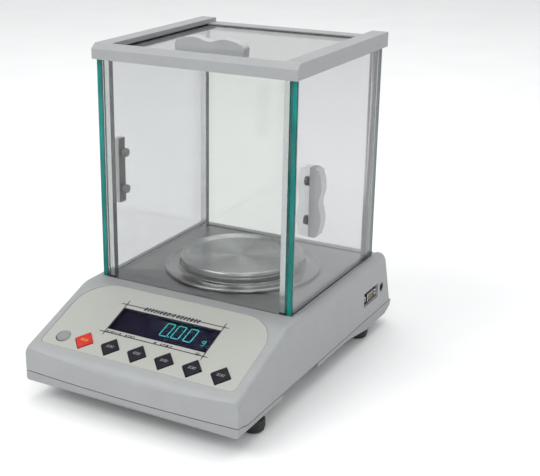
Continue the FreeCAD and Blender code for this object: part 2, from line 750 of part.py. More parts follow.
def make_front_bar():
    """The bar above the front glass: its bevel, glass groove, door notches and rail steps."""
    back = "frame_front + bar_depth"
    bar = padded("front_bar_blank", "YZ_Plane", [
        ("frame_front", "frame_under"),
        (f"{back} + 7.5", "frame_under"),
        (f"{back} + 7.5", "lid_bed - 0.2"),
        (back, "lid_bed - 0.2"),
        (back, "frame_top"),
        ("frame_front + chamfer_run", "frame_top"),
        ("frame_front", "frame_face"),
    ], "frame_width")
    tools = [block(
        "front_bar_groove", (f"-({GLASS_SIDE})", GLASS_SIDE), FRONT_GROOVE, ("0", "frame_under + 2.6"))]
    for name, span in sides():
        tools.append(block(
            f"front_bar_notch_{name}", span(*DOOR_ROOM),
            ("door_front - slip", "0"), ("0", "door_head + slip")))
        tools.append(block(
            f"front_bar_step_{name}", span(RAIL_IN, "frame_width"), (back, "0"), ("0", "frame_top + 5")))
    keep("top_front_bar", cut("front_bar", bar, tools))


def make_rails():
    """The side rails with their slots for the lid, the side doors and the rear glass."""
    whole = ("-body_length", "body_length")
    for name, span in sides():
        blank = block(
            f"rail_{name}_blank", span(RAIL_IN, "frame_width / 2"),
            ("frame_front + bar_depth", "frame_front + frame_depth"), ("frame_under", "frame_top"))
        tools = [
            block(f"rail_{name}_lid_slot", span("0", f"{RAIL_IN} + 5"), whole,
                  ("lid_bed - slip", "lid_bed + lid_glass + 1.1")),
            block(f"rail_{name}_door_slot", span(*DOOR_ROOM), whole, ("0", "door_head + slip")),
            block(f"rail_{name}_glass_slot", span("0", f"{GLASS_SIDE} + 0.3"), REAR_GROOVE,
                  ("0", "frame_under + 2.6")),
        ]
        for place, x, y, front in post_places():
            if place.endswith(name):
                tools.append(rod(f"rail_hole_{place}", (x, y, "frame_under - 1"), "1.55", "3.5"))
        keep(f"top_rail_{name}", cut(f"rail_{name}", blank, tools))


def make_rear_bar():
    """The bar above the rear glass and the cap over the lid's path."""
    across_frame = (f"-({RAIL_IN})", RAIL_IN)
    run = ("rear_post", "frame_front + frame_depth")
    bar = block("rear_bar_blank", across_frame, run, ("frame_under", "lid_bed - slip"))
    groove = block(
        "rear_bar_groove", (f"-({GLASS_SIDE})", GLASS_SIDE), REAR_GROOVE, ("0", "frame_under + 2.6"))
    keep("top_rear_bar", cut("rear_bar", bar, [groove]))
    keep("top_rear_cap", block(
        "rear_cap", across_frame, run, ("lid_bed + lid_glass + slip", "rear_bar_top")))


def make_fixed_glass():
    """The front and back panes, each 0.2 mm clear of its groove."""
    for end, groove in (("front", FRONT_GROOVE), ("rear", REAR_GROOVE)):
        keep(f"{end}_glass", block(
            f"{end}_pane", (f"-({TRACK_IN}) - 0.4", f"{TRACK_IN} + 0.4"),
            (f"{groove[0]} + 0.2", f"{groove[0]} + thin_glass + 0.2"),
            ("deck_height - 2.4", "frame_under + 2.4")))


# ------------------------------------------------------------------ doors

WAVE = (0, 0.68, 0.98, 1.02, 0.76, 1.02, 0.98, 0.68, 0)


def wavy_grip(name, centre, half, base, reach, upright):
    """A grip with a flat back and two soft humps, standing off the glass by reach from base."""
    places = [f"{centre} {shift}" for shift in (
        f"- {half}", f"- {half}", f"- {half} * 0.43 - 6", f"- {half} * 0.43 + 4", "+ 0",
        f"+ {half} * 0.43 - 4", f"+ {half} * 0.43 + 6", f"+ {half}", f"+ {half}")]
    corners = [(f"{base} + ({reach}) * {part}", place) for place, part in zip(places, WAVE)]
    if not upright:
        corners = [(place, stand) for stand, place in corners]
    body = padded(name, "XZ_Plane", corners, "handle_width", "-handle_y")
    whole = body.Shape.BoundBox
    if upright:
        back = whole.XMin if whole.XMin > 0 else whole.XMax
    else:
        back = whole.ZMin

    def on_wave(edge):
        box = edge.BoundBox
        if not (near(box.XMin, box.XMax) and near(box.ZMin, box.ZMax)):
            return False
        return not near(box.XMin if upright else box.ZMin, back)

    rounded(body, "4.5", on_wave, name + "_waves")
    return body


def make_side_doors():
    """Two sliding glass doors, each with a grip outside and two clamping knobs inside."""
    through = "glass + 6"
    for name, span in sides():
        pane = block(
            f"door_{name}_pane", span("door_face - glass", "door_face"),
            ("door_front", "door_rear"), ("door_foot", "door_head"))
        sign = "" if name == "right" else "-"
        grip = wavy_grip(
            f"grip_{name}_blank", "grip_height", "30", f"{sign}door_face", f"{sign}side_reach", True)
        screw_start = span("door_face - glass - 1", "door_face + 5")[0]
        knob_start = span("door_face - glass - 4", "door_face - glass")[0]
        holes, bores, knobs = [], [], []
        for level, z in (("low", "grip_height - 17"), ("high", "grip_height + 17")):
            start = (screw_start, "handle_y", z)
            holes.append(rod(f"door_{name}_hole_{level}", start, "1.8", through, "x"))
            bores.append(rod(f"grip_{name}_bore_{level}", start, "1.55", through, "x"))
            shank = rod(f"door_{name}_screw_{level}", start, "1.5", through, "x")
            knob = rod(f"door_{name}_knob_{level}", (knob_start, "handle_y", z), "knob_radius", "4", "x")
            knobs.append(join(f"door_{name}_knob_screw_{level}", [shank, knob]))
        keep(f"{name}_door_glass", cut(f"door_{name}_cut", pane, holes))
        keep(f"{name}_door_grip", cut(f"grip_{name}_cut", grip, bores))
        keep(f"{name}_door_knobs", join(f"door_{name}_knobs", knobs))


def make_top_door():
    """The sliding glass lid with its grip above and two clamping knobs below."""
    through = "lid_glass + 6"
    pane = block(
        "lid_pane", ("-lid_half", "lid_half"), ("lid_front", "lid_rear"),
        ("lid_bed", "lid_bed + lid_glass"))
    grip = wavy_grip("grip_lid_blank", "0", "33.5", "lid_bed + lid_glass", "lid_reach", False)
    holes, bores, knobs = [], [], []
    for side, x in (("left", "-19"), ("right", "19")):
        start = (x, "handle_y", "lid_bed - 1")
        holes.append(rod(f"lid_hole_{side}", start, "1.8", through))
        bores.append(rod(f"lid_bore_{side}", start, "1.55", through))
        shank = rod(f"lid_screw_{side}", start, "1.5", through)
        knob = rod(f"lid_knob_{side}", (x, "handle_y", "lid_bed - 4"), "knob_radius", "4")
        knobs.append(join(f"lid_knob_screw_{side}", [shank, knob]))
    keep("top_door_glass", cut("lid_cut", pane, holes))
    keep("top_door_grip", cut("grip_lid_cut", grip, bores))
    keep("top_door_knobs", join("lid_knobs", knobs))


# ------------------------------------------------------ pan and mechanism

def bead(name, centre, thick, height):
    """A round bead about the pan's axis."""
    item = doc.addObject("Part::Torus", name)
    item.setExpression("Radius1", formula(centre))
    item.setExpression("Radius2", formula(thick))
    for letter, text in zip("xyz", ("0", "pan_y", f"deck_height + {height}")):
        item.setExpression(f"Placement.Base.{letter}", formula(text))
    return item


def hoop(name, inner, outer, low, high):
    """A ring about the pan's axis between two heights above the deck plate."""
    outside = rod(name + "_outer", ("0", "pan_y", f"deck_height + {low}"), outer, f"{high} - {low}")
    inside = rod(name + "_inner", ("0", "pan_y", f"deck_height + {low} - 1"), inner, f"{high} - {low} + 2")
    return cut(name, outside, [inside])


def make_pan():
    """Weighing pan with a rolled rim, skirt and hub, and the draught ring around it."""
    floor = rod("pan_floor", ("0", "pan_y", "deck_height + 9.3"), "pan_radius - 4", "1.2")
    rim = bead("pan_rim", "pan_radius - 2.7", "2.7", "10.4")
    skirt = hoop("pan_skirt", "pan_radius - 3", "pan_radius - 1.8", "5.3", "9")
    hub = hoop("pan_hub", "4.05", "8", "4", "9.4")
    cone = rod("pan_cone", ("0", "pan_y", "deck_height + 8.9"), "8", "1")
    keep("weighing_pan", join("pan", [floor, rim, skirt, hub, cone]))
    flat = hoop("ring_flat", "57.5", "ring_radius - 1.6", "0", "1.2")
    edge = bead("ring_bead", "ring_radius - 1.5", "1.5", "1.5")
    collar = hoop("ring_collar", "57.5", "58.5", "0", "4.2")
    keep("draught_ring", join("ring", [flat, edge, collar]))


def make_spindle():
    """The spindle under the pan and the bracket that carries it on the load cell's free end."""
    tip = rod("spindle_tip", ("0", "pan_y", "cell_top + 4"), "4", "deck_height + 8.7 - cell_top - 4")
    shoulder = rod("spindle_shoulder", ("0", "pan_y", "deck_height - 1"), "7", "5")
    stud = rod("spindle_stud", ("0", "pan_y", "cell_top"), "2.5", "5")
    keep("pan_spindle", join("spindle", [tip, shoulder, stud]))
    bracket = block("bracket_blank", ("-16", "16"), ("25", "52"), ("cell_top", "cell_top + 4"))
    bracket_holes = [rod("bracket_bore", ("0", "pan_y", "cell_top - 1"), "2.55", "7")]
    threads = []
    screws = []
    for side, x in (("left", "-9"), ("right", "9")):
        bracket_holes.append(rod(f"bracket_hole_{side}", (x, "47", "cell_top - 1"), "1.55", "7"))
        threads.append(rod(f"cell_thread_{side}", (x, "47", "cell_top - 10"), "1.55", "12"))
        shank = rod(f"bracket_shank_{side}", (x, "47", "cell_top - 8"), "1.5", "12.5")
        head = rod(f"bracket_head_{side}", (x, "47", "cell_top + 4"), "2.75", "2.4")
        screws.append(join(f"bracket_screw_{side}", [shank, head]))
    keep("cell_bracket", cut("bracket", bracket, bracket_holes))
    keep("bracket_screws", join("bracket_screw_set", screws))
    return threads


def make_mechanism():
    """Load cell, its base and the chassis plate, with their screws."""
    middle = "(cell_floor + cell_top) / 2"
    cell = block("cell_blank", ("-13", "13"), ("-75", "55"), ("cell_floor", "cell_top"))
    cell_holes = make_spindle()
    for side, y in (("fixed", "-35"), ("free", "15")):
        cell_holes.append(rod(f"cell_bore_{side}", ("-20", y, middle), "7.5", "40", "x"))
    slit = (f"{middle} - 1.5", f"{middle} + 1.5")
    cell_holes.append(block("cell_slot", ("-20", "20"), ("-35", "15"), slit))
    base = block("base_blank", ("-16", "16"), ("-80", "-50"), ("plate_floor + 3", "cell_floor"))
    base_holes = []
    plate_holes = []
    screws = []
    for end, y in (("front", "-70"), ("back", "-58")):
        start = ("0", y, "cell_floor - 7")
        cell_holes.append(rod(f"cell_hole_{end}", start, "2.05", "cell_top - cell_floor + 8"))
        base_holes.append(rod(f"base_thread_{end}", start, "2.05", "8"))
        shank = rod(f"cell_shank_{end}", ("0", y, "cell_floor - 6"), "2", "cell_top - cell_floor + 6.5")
        head = rod(f"cell_head_{end}", ("0", y, "cell_top"), "3.5", "3")
        screws.append(join(f"cell_screw_{end}", [shank, head]))
    for side, x in (("left", "-12"), ("right", "12")):
        start = (x, "-65", "plate_floor - 1")
        plate_holes.append(rod(f"plate_bore_{side}", start, "1.55", "8"))
        base_holes.append(rod(f"base_bore_{side}", start, "1.55", "11"))
        shank = rod(f"base_shank_{side}", (x, "-65", "plate_floor - 0.5"), "1.5", "10")
        head = rod(f"base_head_{side}", (x, "-65", "plate_floor - 1.8"), "3", "1.8")
        screws.append(join(f"base_screw_{side}", [shank, head]))
    for name, x, y in chassis_posts():
        plate_holes.append(rod(f"plate_hole_{name}_post", (x, y, "plate_floor - 1"), "1.55", "8"))
        shank = rod(f"chassis_shank_{name}", (x, y, "plate_floor - 1.5"), "1.5", "5")
        head = rod(f"chassis_head_{name}", (x, y, "plate_floor + 3"), "3", "2.2")
        screws.append(join(f"chassis_screw_{name}", [shank, head]))
    plate_holes.append(rod("stop_hole", ("0", "48", "plate_floor - 1"), "2.05", "8"))
    stop_height = "cell_floor - 0.6 - plate_floor"
    screws.append(rod("overload_stop", ("0", "48", "plate_floor"), "2", stop_height))
    keep("load_cell", cut("cell", cell, cell_holes))
    keep("cell_base", cut("base", base, base_holes))
    plate = block("chassis_blank", ("-60", "60"), ("-92", "66"), ("plate_floor", "plate_floor + 3"))
    keep("chassis_plate", cut("chassis", plate, plate_holes))
    keep("mechanism_screws", join("mechanism_screw_set", screws))


# ------------------------------------------------------------ electronics

def make_electronics():
    """Main board with the serial connector and the power jack."""
    board_top = "board_floor + 1.6"
    board = block("main_board_blank", ("52", "96"), ("80", "144"), ("board_floor", board_top))
    holes = [rod(f"main_board_hole_{index}", (x, y, "board_floor - 1"), "1.25", "5")
             for index, (x, y) in enumerate(BOARD_STANDS)]
    keep("main_board", cut("main_board_cut", board, holes))

    face = "body_width / 2 - 6"
    pieces = []
    for name, back, front, half_y, low, high in (
        ("flange", "- 1", "+ 0", "15.4", "port_z - 6.2", "port_z + 6.2"),
        ("shell", "- 1", "+ 5.8", "8.5", "port_z - 4.2", "port_z + 4.2"),
        ("body", "- 11", "+ 0", "9.8", board_top, "port_z + 5.4"),
    ):
        pieces.append(block(
            f"serial_{name}", (f"{face} {back}", f"{face} {front}"),
            (f"port_y - {half_y}", f"port_y + {half_y}"), (low, high)))
    bores = []
    for index, y in enumerate(("port_y - 12.495", "port_y + 12.495")):
        pieces.append(rod(f"serial_nut_{index}", (f"{face} - 0.5", y, "port_z"), "2.7", "5.3", "x"))
        bores.append(rod(f"serial_bore_{index}", (f"{face} - 2", y, "port_z"), "1.42", "8", "x"))
    keep("serial_connector", cut("serial", join("serial_solid", pieces), bores))

    body = block(
        "jack_body", ("88", "96"), ("jack_y - 4.5", "jack_y + 4.5"), (board_top, "port_z + 4.6"))
    barrel = rod("jack_barrel", ("95", "jack_y", "port_z"), "4.3", "body_width / 2 - 95.4", "x")
    bore = rod("jack_bore", ("94", "jack_y", "port_z"), "2.8", "20", "x")
    pin = rod("jack_pin", ("93", "jack_y", "port_z"), "1", "body_width / 2 - 95", "x")
    shell = cut("jack_bored", join("jack_solid", [body, barrel]), [bore])
    keep("dc_jack", join("jack", [shell, pin]))


# ------------------------------------------------------------------ write

for make in (
    make_upper_housing, make_bottom_cover, make_case_screws, make_feet, make_overlay, make_keys,
    make_display, make_level, make_floor, make_posts, make_front_bar, make_rails, make_rear_bar,
    make_fixed_glass, make_side_doors, make_top_door, make_pan, make_mechanism, make_electronics,
):
    make()

doc.recompute()
failed = [item.Name for item in doc.Objects if {"Invalid", "Error"} & set(item.State)]
if failed:
    raise RuntimeError(f"these objects did not compute: {failed}")
for label, item in parts.items():
    if item.Shape.isNull() or not item.Shape.isValid():
        raise RuntimeError(f"{label} has no valid shape")
os.makedirs("parts", exist_ok=True)
for label, item in parts.items():
    item.Shape.exportStep(f"parts/{label}.step")
    print(f"{label:24s} solids {len(item.Shape.Solids)}  volume {item.Shape.Volume:12.1f}")
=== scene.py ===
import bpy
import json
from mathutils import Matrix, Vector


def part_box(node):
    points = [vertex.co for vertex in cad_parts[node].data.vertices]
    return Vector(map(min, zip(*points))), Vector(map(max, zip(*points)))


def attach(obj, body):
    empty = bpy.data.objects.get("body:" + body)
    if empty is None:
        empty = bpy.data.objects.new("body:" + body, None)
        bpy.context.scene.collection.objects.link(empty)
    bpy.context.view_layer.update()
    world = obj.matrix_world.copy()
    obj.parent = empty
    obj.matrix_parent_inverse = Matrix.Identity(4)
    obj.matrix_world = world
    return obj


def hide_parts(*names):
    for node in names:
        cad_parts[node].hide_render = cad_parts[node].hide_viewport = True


bl_info = {
    "name": "Analytical balance",
    "version": (1, 0, 0),
    "blender": (4, 5, 0),
    "location": "View3D > Sidebar > Balance",
    "description": "Finishes and fine detail for a laboratory balance with a glass draught shield",
    "category": "Object",
}

import json
import math

import bmesh
import bpy
from mathutils import Matrix, Vector

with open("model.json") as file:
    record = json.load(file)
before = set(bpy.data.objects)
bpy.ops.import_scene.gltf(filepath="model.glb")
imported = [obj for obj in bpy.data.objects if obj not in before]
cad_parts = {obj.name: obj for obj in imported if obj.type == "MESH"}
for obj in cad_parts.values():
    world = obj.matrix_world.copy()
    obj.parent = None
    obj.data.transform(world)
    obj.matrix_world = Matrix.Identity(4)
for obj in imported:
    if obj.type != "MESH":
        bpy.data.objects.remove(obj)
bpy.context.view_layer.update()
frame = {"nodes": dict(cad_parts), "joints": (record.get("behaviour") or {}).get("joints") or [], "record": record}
MM = 0.001


# ------------------------------------------------------------ where things are

def middle(node):
    """Middle of a solid's box."""
    low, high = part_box(node)
    return (low + high) / 2


PRESS = next(joint["axis"] for joint in frame["joints"] if joint["name"] == "power_press")
ACROSS = Vector((1, 0, 0))
PANEL_OUT = -Vector(PRESS).normalized()
PANEL_UP = PANEL_OUT.cross(ACROSS)
WINDOW_MIDDLE = middle("display_window")
PAN_LOW, PAN_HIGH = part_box("weighing_pan")
PAN_AXIS = (PAN_LOW + PAN_HIGH) / 2
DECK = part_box("deck_plate")[1].z


def on_panel(x, up, out):
    """A point on the sloped panel, in millimetres from the window's middle; out is off its face."""
    return WINDOW_MIDDLE + (ACROSS * x + PANEL_UP * up + PANEL_OUT * (out + 1.55)) * MM


def panel_place(node):
    """Where a solid's middle lies on the panel, in millimetres from the window's middle."""
    away = middle(node) - WINDOW_MIDDLE
    return away.dot(ACROSS) / MM, away.dot(PANEL_UP) / MM


# ------------------------------------------------------------------ materials

class Finish:
    """One material, built as nodes around a single surface shader."""

    def __init__(self, name, colour=None, rough=None, metal=0.0, **sockets):
        self.material = bpy.data.materials.new(name)
        self.material.use_nodes = True
        self.tree = self.material.node_tree
        self.surface = self.tree.nodes["Principled BSDF"]
        if colour is not None:
            self.surface.inputs["Base Color"].default_value = (*colour, 1)
        if rough is not None:
            self.surface.inputs["Roughness"].default_value = rough
        self.surface.inputs["Metallic"].default_value = metal
        for socket, value in sockets.items():
            self.surface.inputs[socket.replace("_", " ")].default_value = value

    def node(self, kind, **values):
        made = self.tree.nodes.new(kind)
        for key, value in values.items():
            setattr(made, key, value)
        return made

    def feed(self, socket, source):
        """Put a number, a colour or another node's output into a socket."""
        if isinstance(source, bpy.types.NodeSocket):
            self.tree.links.new(source, socket)
        else:
            socket.default_value = source

    def where(self, stretch=(1, 1, 1)):
        """Place on the object, in metres, stretched along each axis."""
        place = self.node("ShaderNodeTexCoord").outputs["Object"]
        mapping = self.node("ShaderNodeMapping")
        self.feed(mapping.inputs["Vector"], place)
        mapping.inputs["Scale"].default_value = stretch
        return mapping.outputs["Vector"]

    def noise(self, scale, detail=3, rough=0.5, stretch=(1, 1, 1)):
        made = self.node("ShaderNodeTexNoise")
        self.feed(made.inputs["Vector"], self.where(stretch))
        for socket, value in (("Scale", scale), ("Detail", detail), ("Roughness", rough)):
            made.inputs[socket].default_value = value
        return made.outputs["Fac"]

    def cells(self, scale):
        made = self.node("ShaderNodeTexVoronoi")
        self.feed(made.inputs["Vector"], self.where())
        made.inputs["Scale"].default_value = scale
        return made.outputs["Distance"]

    def spread(self, source, low, high):
        """A 0 to 1 pattern as numbers between low and high."""
        made = self.node("ShaderNodeMapRange")
        self.feed(made.inputs["Value"], source)
        made.inputs["To Min"].default_value = low
        made.inputs["To Max"].default_value = high
        return made.outputs["Result"]

    def maths(self, operation, first, second=0.5):
        made = self.node("ShaderNodeMath", operation=operation)
        self.feed(made.inputs[0], first)
        self.feed(made.inputs[1], second)
        return made.outputs["Value"]

    def ramp(self, source, stops):
        made = self.node("ShaderNodeValToRGB")
        self.feed(made.inputs["Fac"], source)
        ramp = made.color_ramp
        while len(ramp.elements) < len(stops):
            ramp.elements.new(0.5)
        for element, (place, colour) in zip(ramp.elements, stops):
            element.position = place
            element.color = (*colour, 1)
        return made.outputs["Color"]

    def ring_distance(self, centre):
        """Distance from the upright axis through a point."""
        shift = self.node("ShaderNodeVectorMath", operation="SUBTRACT")
        self.feed(shift.inputs[0], self.where())
        shift.inputs[1].default_value = centre
        flat = self.node("ShaderNodeVectorMath", operation="MULTIPLY")
        self.feed(flat.inputs[0], shift.outputs["Vector"])
        flat.inputs[1].default_value = (1, 1, 0)
        length = self.node("ShaderNodeVectorMath", operation="LENGTH")
        self.feed(length.inputs[0], flat.outputs["Vector"])
        return length.outputs["Value"]

    def paint(self, source, dark, light, low=0.35, high=0.65):
        """Colour that wanders between two shades."""
        self.feed(self.surface.inputs["Base Color"], self.ramp(source, [(low, dark), (high, light)]))
        return self

    def gloss(self, source, low, high):
        self.feed(self.surface.inputs["Roughness"], self.spread(source, low, high))
        return self

    def relief(self, source, depth, strength=0.5):
        """Bump of a depth in millimetres."""
        made = self.node("ShaderNodeBump")
        made.inputs["Strength"].default_value = strength
        made.inputs["Distance"].default_value = depth * MM
        self.feed(made.inputs["Height"], source)
        self.feed(self.surface.inputs["Normal"], made.outputs["Normal"])
        return self


def shade(colour, factor):
    return tuple(min(1.0, part * factor) for part in colour)


def textured_paint(name, colour, grain=2200, depth=0.05, rough=(0.42, 0.56)):
    """Powder paint or moulded plastic with a fine even grain and faint mottling."""
    made = Finish(name)
    made.paint(made.noise(60, 4), shade(colour, 0.975), shade(colour, 1.02))
    made.gloss(made.noise(grain * 0.5, 2), *rough)
    made.relief(made.noise(grain, 2, 0.6), depth, 0.35)
    return made.material


def brushed_metal(name, colour, along, rough=(0.2, 0.34), depth=0.012):
    """Metal with fine straight brush marks along one axis."""
    made = Finish(name, metal=1.0)
    stretch = tuple(0.02 if axis == along else 1 for axis in "xyz")
    streaks = made.noise(2600, 3, 0.6, stretch)
    broad = made.noise(190, 3, 0.5, stretch)
    made.paint(made.maths("MULTIPLY_ADD", streaks, 0.6), shade(colour, 0.86), shade(colour, 1.06), 0.3,
               0.9)
    made.gloss(broad, *rough)
    made.relief(streaks, depth, 0.5)
    return made.material


# Painted reflection: brightness of the spun metal at each part of a turn round its axis.
PAINTED_REFLECTION_SWEEP = ((0.0, 0.85), (0.1, 1.1), (0.22, 0.8), (0.36, 1.15), (0.5, 0.7), (0.62, 1.0), (0.76, 0.72),
         (0.88, 1.15), (1.0, 0.85))


def spun_metal(name, colour, centre, rough=(0.16, 0.3)):
    """Metal turned on a lathe: fine rings about an upright axis, and painted reflection bands by the angle round
    it.
    """
    made = Finish(name, metal=1.0)
    away = made.ring_distance(centre)
    grooves = made.node("ShaderNodeTexNoise")
    grooves.noise_dimensions = "1D"
    made.feed(grooves.inputs["W"], away)
    grooves.inputs["Scale"].default_value = 2400
    grooves.inputs["Detail"].default_value = 4
    bands = made.node("ShaderNodeTexNoise")
    bands.noise_dimensions = "1D"
    made.feed(bands.inputs["W"], away)
    bands.inputs["Scale"].default_value = 210
    turn = made.node("ShaderNodeTexGradient", gradient_type="RADIAL")
    shift = made.node("ShaderNodeVectorMath", operation="SUBTRACT")
    made.feed(shift.inputs[0], made.where())
    shift.inputs[1].default_value = centre
    made.feed(turn.inputs["Vector"], shift.outputs["Vector"])
    # Painted reflection: light and dark bands by angle, multiplied into the colour.
    reflection_sweep = made.ramp(turn.outputs["Fac"], [(place, (tone, tone, tone)) for place, tone in PAINTED_REFLECTION_SWEEP])
    tint = made.ramp(grooves.outputs["Fac"], [(0.35, shade(colour, 0.88)), (0.65, shade(colour, 1.05))])
    mixed = made.node("ShaderNodeVectorMath", operation="MULTIPLY")
    made.feed(mixed.inputs[0], tint)
    made.feed(mixed.inputs[1], reflection_sweep)
    made.feed(made.surface.inputs["Base Color"], mixed.outputs["Vector"])
    made.gloss(bands.outputs["Fac"], *rough)
    made.relief(grooves.outputs["Fac"], 0.01, 0.5)
    return made.material


def polished(name, colour, rough=(0.04, 0.12)):
    """Bright plated metal with the faintest wipe marks."""
    made = Finish(name, metal=1.0)
    haze = made.noise(260, 4, 0.6, (1, 1, 0.2))
    made.paint(haze, shade(colour, 0.94), shade(colour, 1.03))
    made.gloss(haze, *rough)
    return made.material


def square_chrome(name, face, flank):
    """Plating on square bars, with a painted dark reflection on their flanks."""
    made = Finish(name, metal=1.0)
    normal = made.node("ShaderNodeSeparateXYZ")
    made.feed(normal.inputs["Vector"], made.node("ShaderNodeNewGeometry").outputs["Normal"])
    haze = made.noise(260, 4, 0.6, (1, 1, 0.2))
    flank_reflection_mask = made.maths("ADD", made.maths("ABSOLUTE", normal.outputs["X"]),
                          made.spread(haze, -0.08, 0.08))
    # Painted reflection: flanks that face across are painted near black, and the faces bright.
    made.paint(flank_reflection_mask, face, flank, 0.2, 0.8)
    made.gloss(haze, 0.08, 0.16)
    return made.material


def painted_reflection_chrome(name, dark, light):
    """Plating with a painted reflection of the room in upright light and dark streaks."""
    made = Finish(name, metal=1.0)
    # Painted reflection: upright streaks between dark and light.
    made.paint(made.noise(420, 2, 0.5, (1, 1, 0.012)), dark, light, 0.46, 0.6)
    made.gloss(made.noise(260, 4, 0.6, (1, 1, 0.2)), 0.06, 0.14)
    return made.material


def moulded(name, colour, rough=(0.25, 0.4), grain=1500, depth=0.02, shine=0.5):
    """Dense moulded plastic with slight sink and a satin face."""
    made = Finish(name, Specular_IOR_Level=shine)
    made.paint(made.noise(120, 3), shade(colour, 0.9), shade(colour, 1.08))
    made.gloss(made.noise(400, 3), *rough)
    made.relief(made.noise(grain, 2), depth, 0.3)
    return made.material


def clear_glass(name, tint):
    """Float glass: clear, with the lightest smear in its gloss."""
    made = Finish(name, Transmission_Weight=1.0, IOR=1.5)
    made.paint(made.noise(14, 3), shade(tint, 0.985), tint)
    made.gloss(made.noise(35, 4, 0.6), 0.0, 0.02)
    return made.material


def glass_edge(name, colour):
    """The polished edge of thick glass, which carries its green."""
    made = Finish(name, Transmission_Weight=0.1, IOR=1.3)
    made.paint(made.noise(90, 4, 0.6, (1, 1, 0.25)), shade(colour, 0.65), shade(colour, 1.35), 0.3, 0.7)
    made.gloss(made.noise(600, 2), 0.15, 0.3)
    return made.material


def lit(name, colour, strength):
    """Phosphor of the display."""
    made = Finish(name, shade(colour, 0.3), 0.5)
    made.feed(made.surface.inputs["Emission Color"],
              made.ramp(made.noise(4000, 1), [(0.3, shade(colour, 0.85)), (0.7, colour)]))
    made.surface.inputs["Emission Strength"].default_value = strength
    return made.material


def circuit(name, colour, copper):
    """Circuit board: solder resist with tracks showing faintly through."""
    made = Finish(name, rough=0.35)
    tracks = made.node("ShaderNodeTexBrick")
    made.feed(tracks.inputs["Vector"], made.where())
    for socket, value in (("Scale", 90), ("Mortar Size", 0.08), ("Color1", (*colour, 1)),
                          ("Color2", (*shade(colour, 1.25), 1)), ("Mortar", (*copper, 1))):
        tracks.inputs[socket].default_value = value
    made.feed(made.surface.inputs["Base Color"], tracks.outputs["Color"])
    made.relief(tracks.outputs["Fac"], 0.05, 0.4)
    return made.material


# ---------------------------------------------------------------- mesh helpers

def add_piece(name, bm, materials, body, replaced=(), sharp=35):
    """Turn a bmesh into a piece that rides on a body and stands for the solids it replaces."""
    bmesh.ops.remove_doubles(bm, verts=bm.verts, dist=1e-7)
    bmesh.ops.recalc_face_normals(bm, faces=bm.faces)
    mesh = bpy.data.meshes.new(name)
    bm.to_mesh(mesh)
    bm.free()
    for polygon in mesh.polygons:
        polygon.use_smooth = True
    mesh.set_sharp_from_angle(angle=math.radians(sharp))
    for material in materials:
        mesh.materials.append(material)
    item = bpy.data.objects.new(name, mesh)
    bpy.context.scene.collection.objects.link(item)
    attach(item, body)
    if replaced:
        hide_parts(*replaced)
    return item


def finish_nodes(material, *nodes):
    """Give solids of the frame their material."""
    for node in nodes:
        mesh = frame["nodes"][node].data
        mesh.materials.clear()
        mesh.materials.append(material)


def skin(bm, rings, close_start=True, close_end=True, material=0):
    """Faces between successive closed rings of points."""
    loops = [[bm.verts.new(point) for point in ring] for ring in rings]
    faces = []
    for first, second in zip(loops, loops[1:]):
        count = len(first)
        for index in range(count):
            other = (index + 1) % count
            faces.append(bm.faces.new((first[index], first[other], second[other], second[index])))
    if close_start:
        faces.append(bm.faces.new(loops[0][::-1]))
    if close_end:
        faces.append(bm.faces.new(loops[-1]))
    for face in faces:
        face.material_index = material
    return faces


def turned(bm, profile, centre, axis="z", count=96, flutes=0, depth=0.0, material=0):
    """Turn a profile of (radius, height) in millimetres; flutes cut ribs where radius is full."""
    widest = max(radius for radius, height in profile)
    rings = []
    for radius, height in profile:
        ring = []
        for index in range(count):
            angle = 2 * math.pi * index / count
            cut = depth * (0.5 + 0.5 * math.cos(flutes * angle)) if flutes and radius > widest * 0.93 else 0
            reach = (max(radius, 0.01) - cut) * MM
            round_x, round_y, lift = reach * math.cos(angle), reach * math.sin(angle), height * MM
            offset = {"z": (round_x, round_y, lift), "x": (lift, round_x, round_y),
                      "-x": (-lift, round_x, -round_y),
                      "y": (round_y, lift, round_x)}[axis]
            ring.append(centre + Vector(offset))
        rings.append(ring)
    return skin(bm, rings, material=material)


def arc(centre, radius, start, stop, steps=6):
    """Points on an arc, angles in degrees."""
    points = []
    for step in range(steps + 1):
        angle = math.radians(start + (stop - start) * step / steps)
        points.append((centre[0] + radius * math.cos(angle), centre[1] + radius * math.sin(angle)))
    return points


def slab(bm, low, high, soften=0.0, material=0):
    """A box between two corners, its edges softened."""
    made = bmesh.ops.create_cube(bm, size=1)
    scale = Matrix.Diagonal((*(high - low), 1))
    bmesh.ops.transform(bm, matrix=Matrix.Translation((low + high) / 2) @ scale, verts=made["verts"])
    faces = {face for vert in made["verts"] for face in vert.link_faces}
    for face in faces:
        face.material_index = material
    if soften:
        edges = {edge for face in faces for edge in face.edges}
        bmesh.ops.bevel(bm, geom=list(edges), offset=soften * MM, segments=2, profile=0.5,
                        affect="EDGES")
    return faces


def panel_plate(bm, outline, low, high, material=0):
    """A thin plate on the panel: an outline in millimetres, between two heights."""
    return skin(bm, [[on_panel(x, up, out) for x, up in outline] for out in (low, high)],
                material=material)


# ---------------------------------------------------------------------- sizes

class BalanceSizes(bpy.types.PropertyGroup):
    """Sizes a maker would change."""
    digit_height: bpy.props.FloatProperty(
        name="Digit height", description="Height of the display's digits, in millimetres", default=16.2,
        min=5)
    digit_slant: bpy.props.FloatProperty(
        name="Digit slant", description="Lean of the digits", default=math.radians(3), subtype="ANGLE")
    edge_polish: bpy.props.FloatProperty(
        name="Glass edge polish", description="Chamfer on the glass panes, in millimetres", default=0.4,
        min=0.1)
    key_crown: bpy.props.FloatProperty(
        name="Key crown", description="Softening round the top of each key, in millimetres",
        default=0.5, min=0.1)
    hairline: bpy.props.FloatProperty(
        name="Hairline", description="Width of the lines round the window, in millimetres", default=1.0,
        min=0.2)
    foot_ribs: bpy.props.IntProperty(
        name="Foot ribs", description="Grip ribs round each levelling foot", default=32, min=8)
    knob_ribs: bpy.props.IntProperty(
        name="Knob ribs", description="Grip ribs round each clamping knob", default=16, min=6)


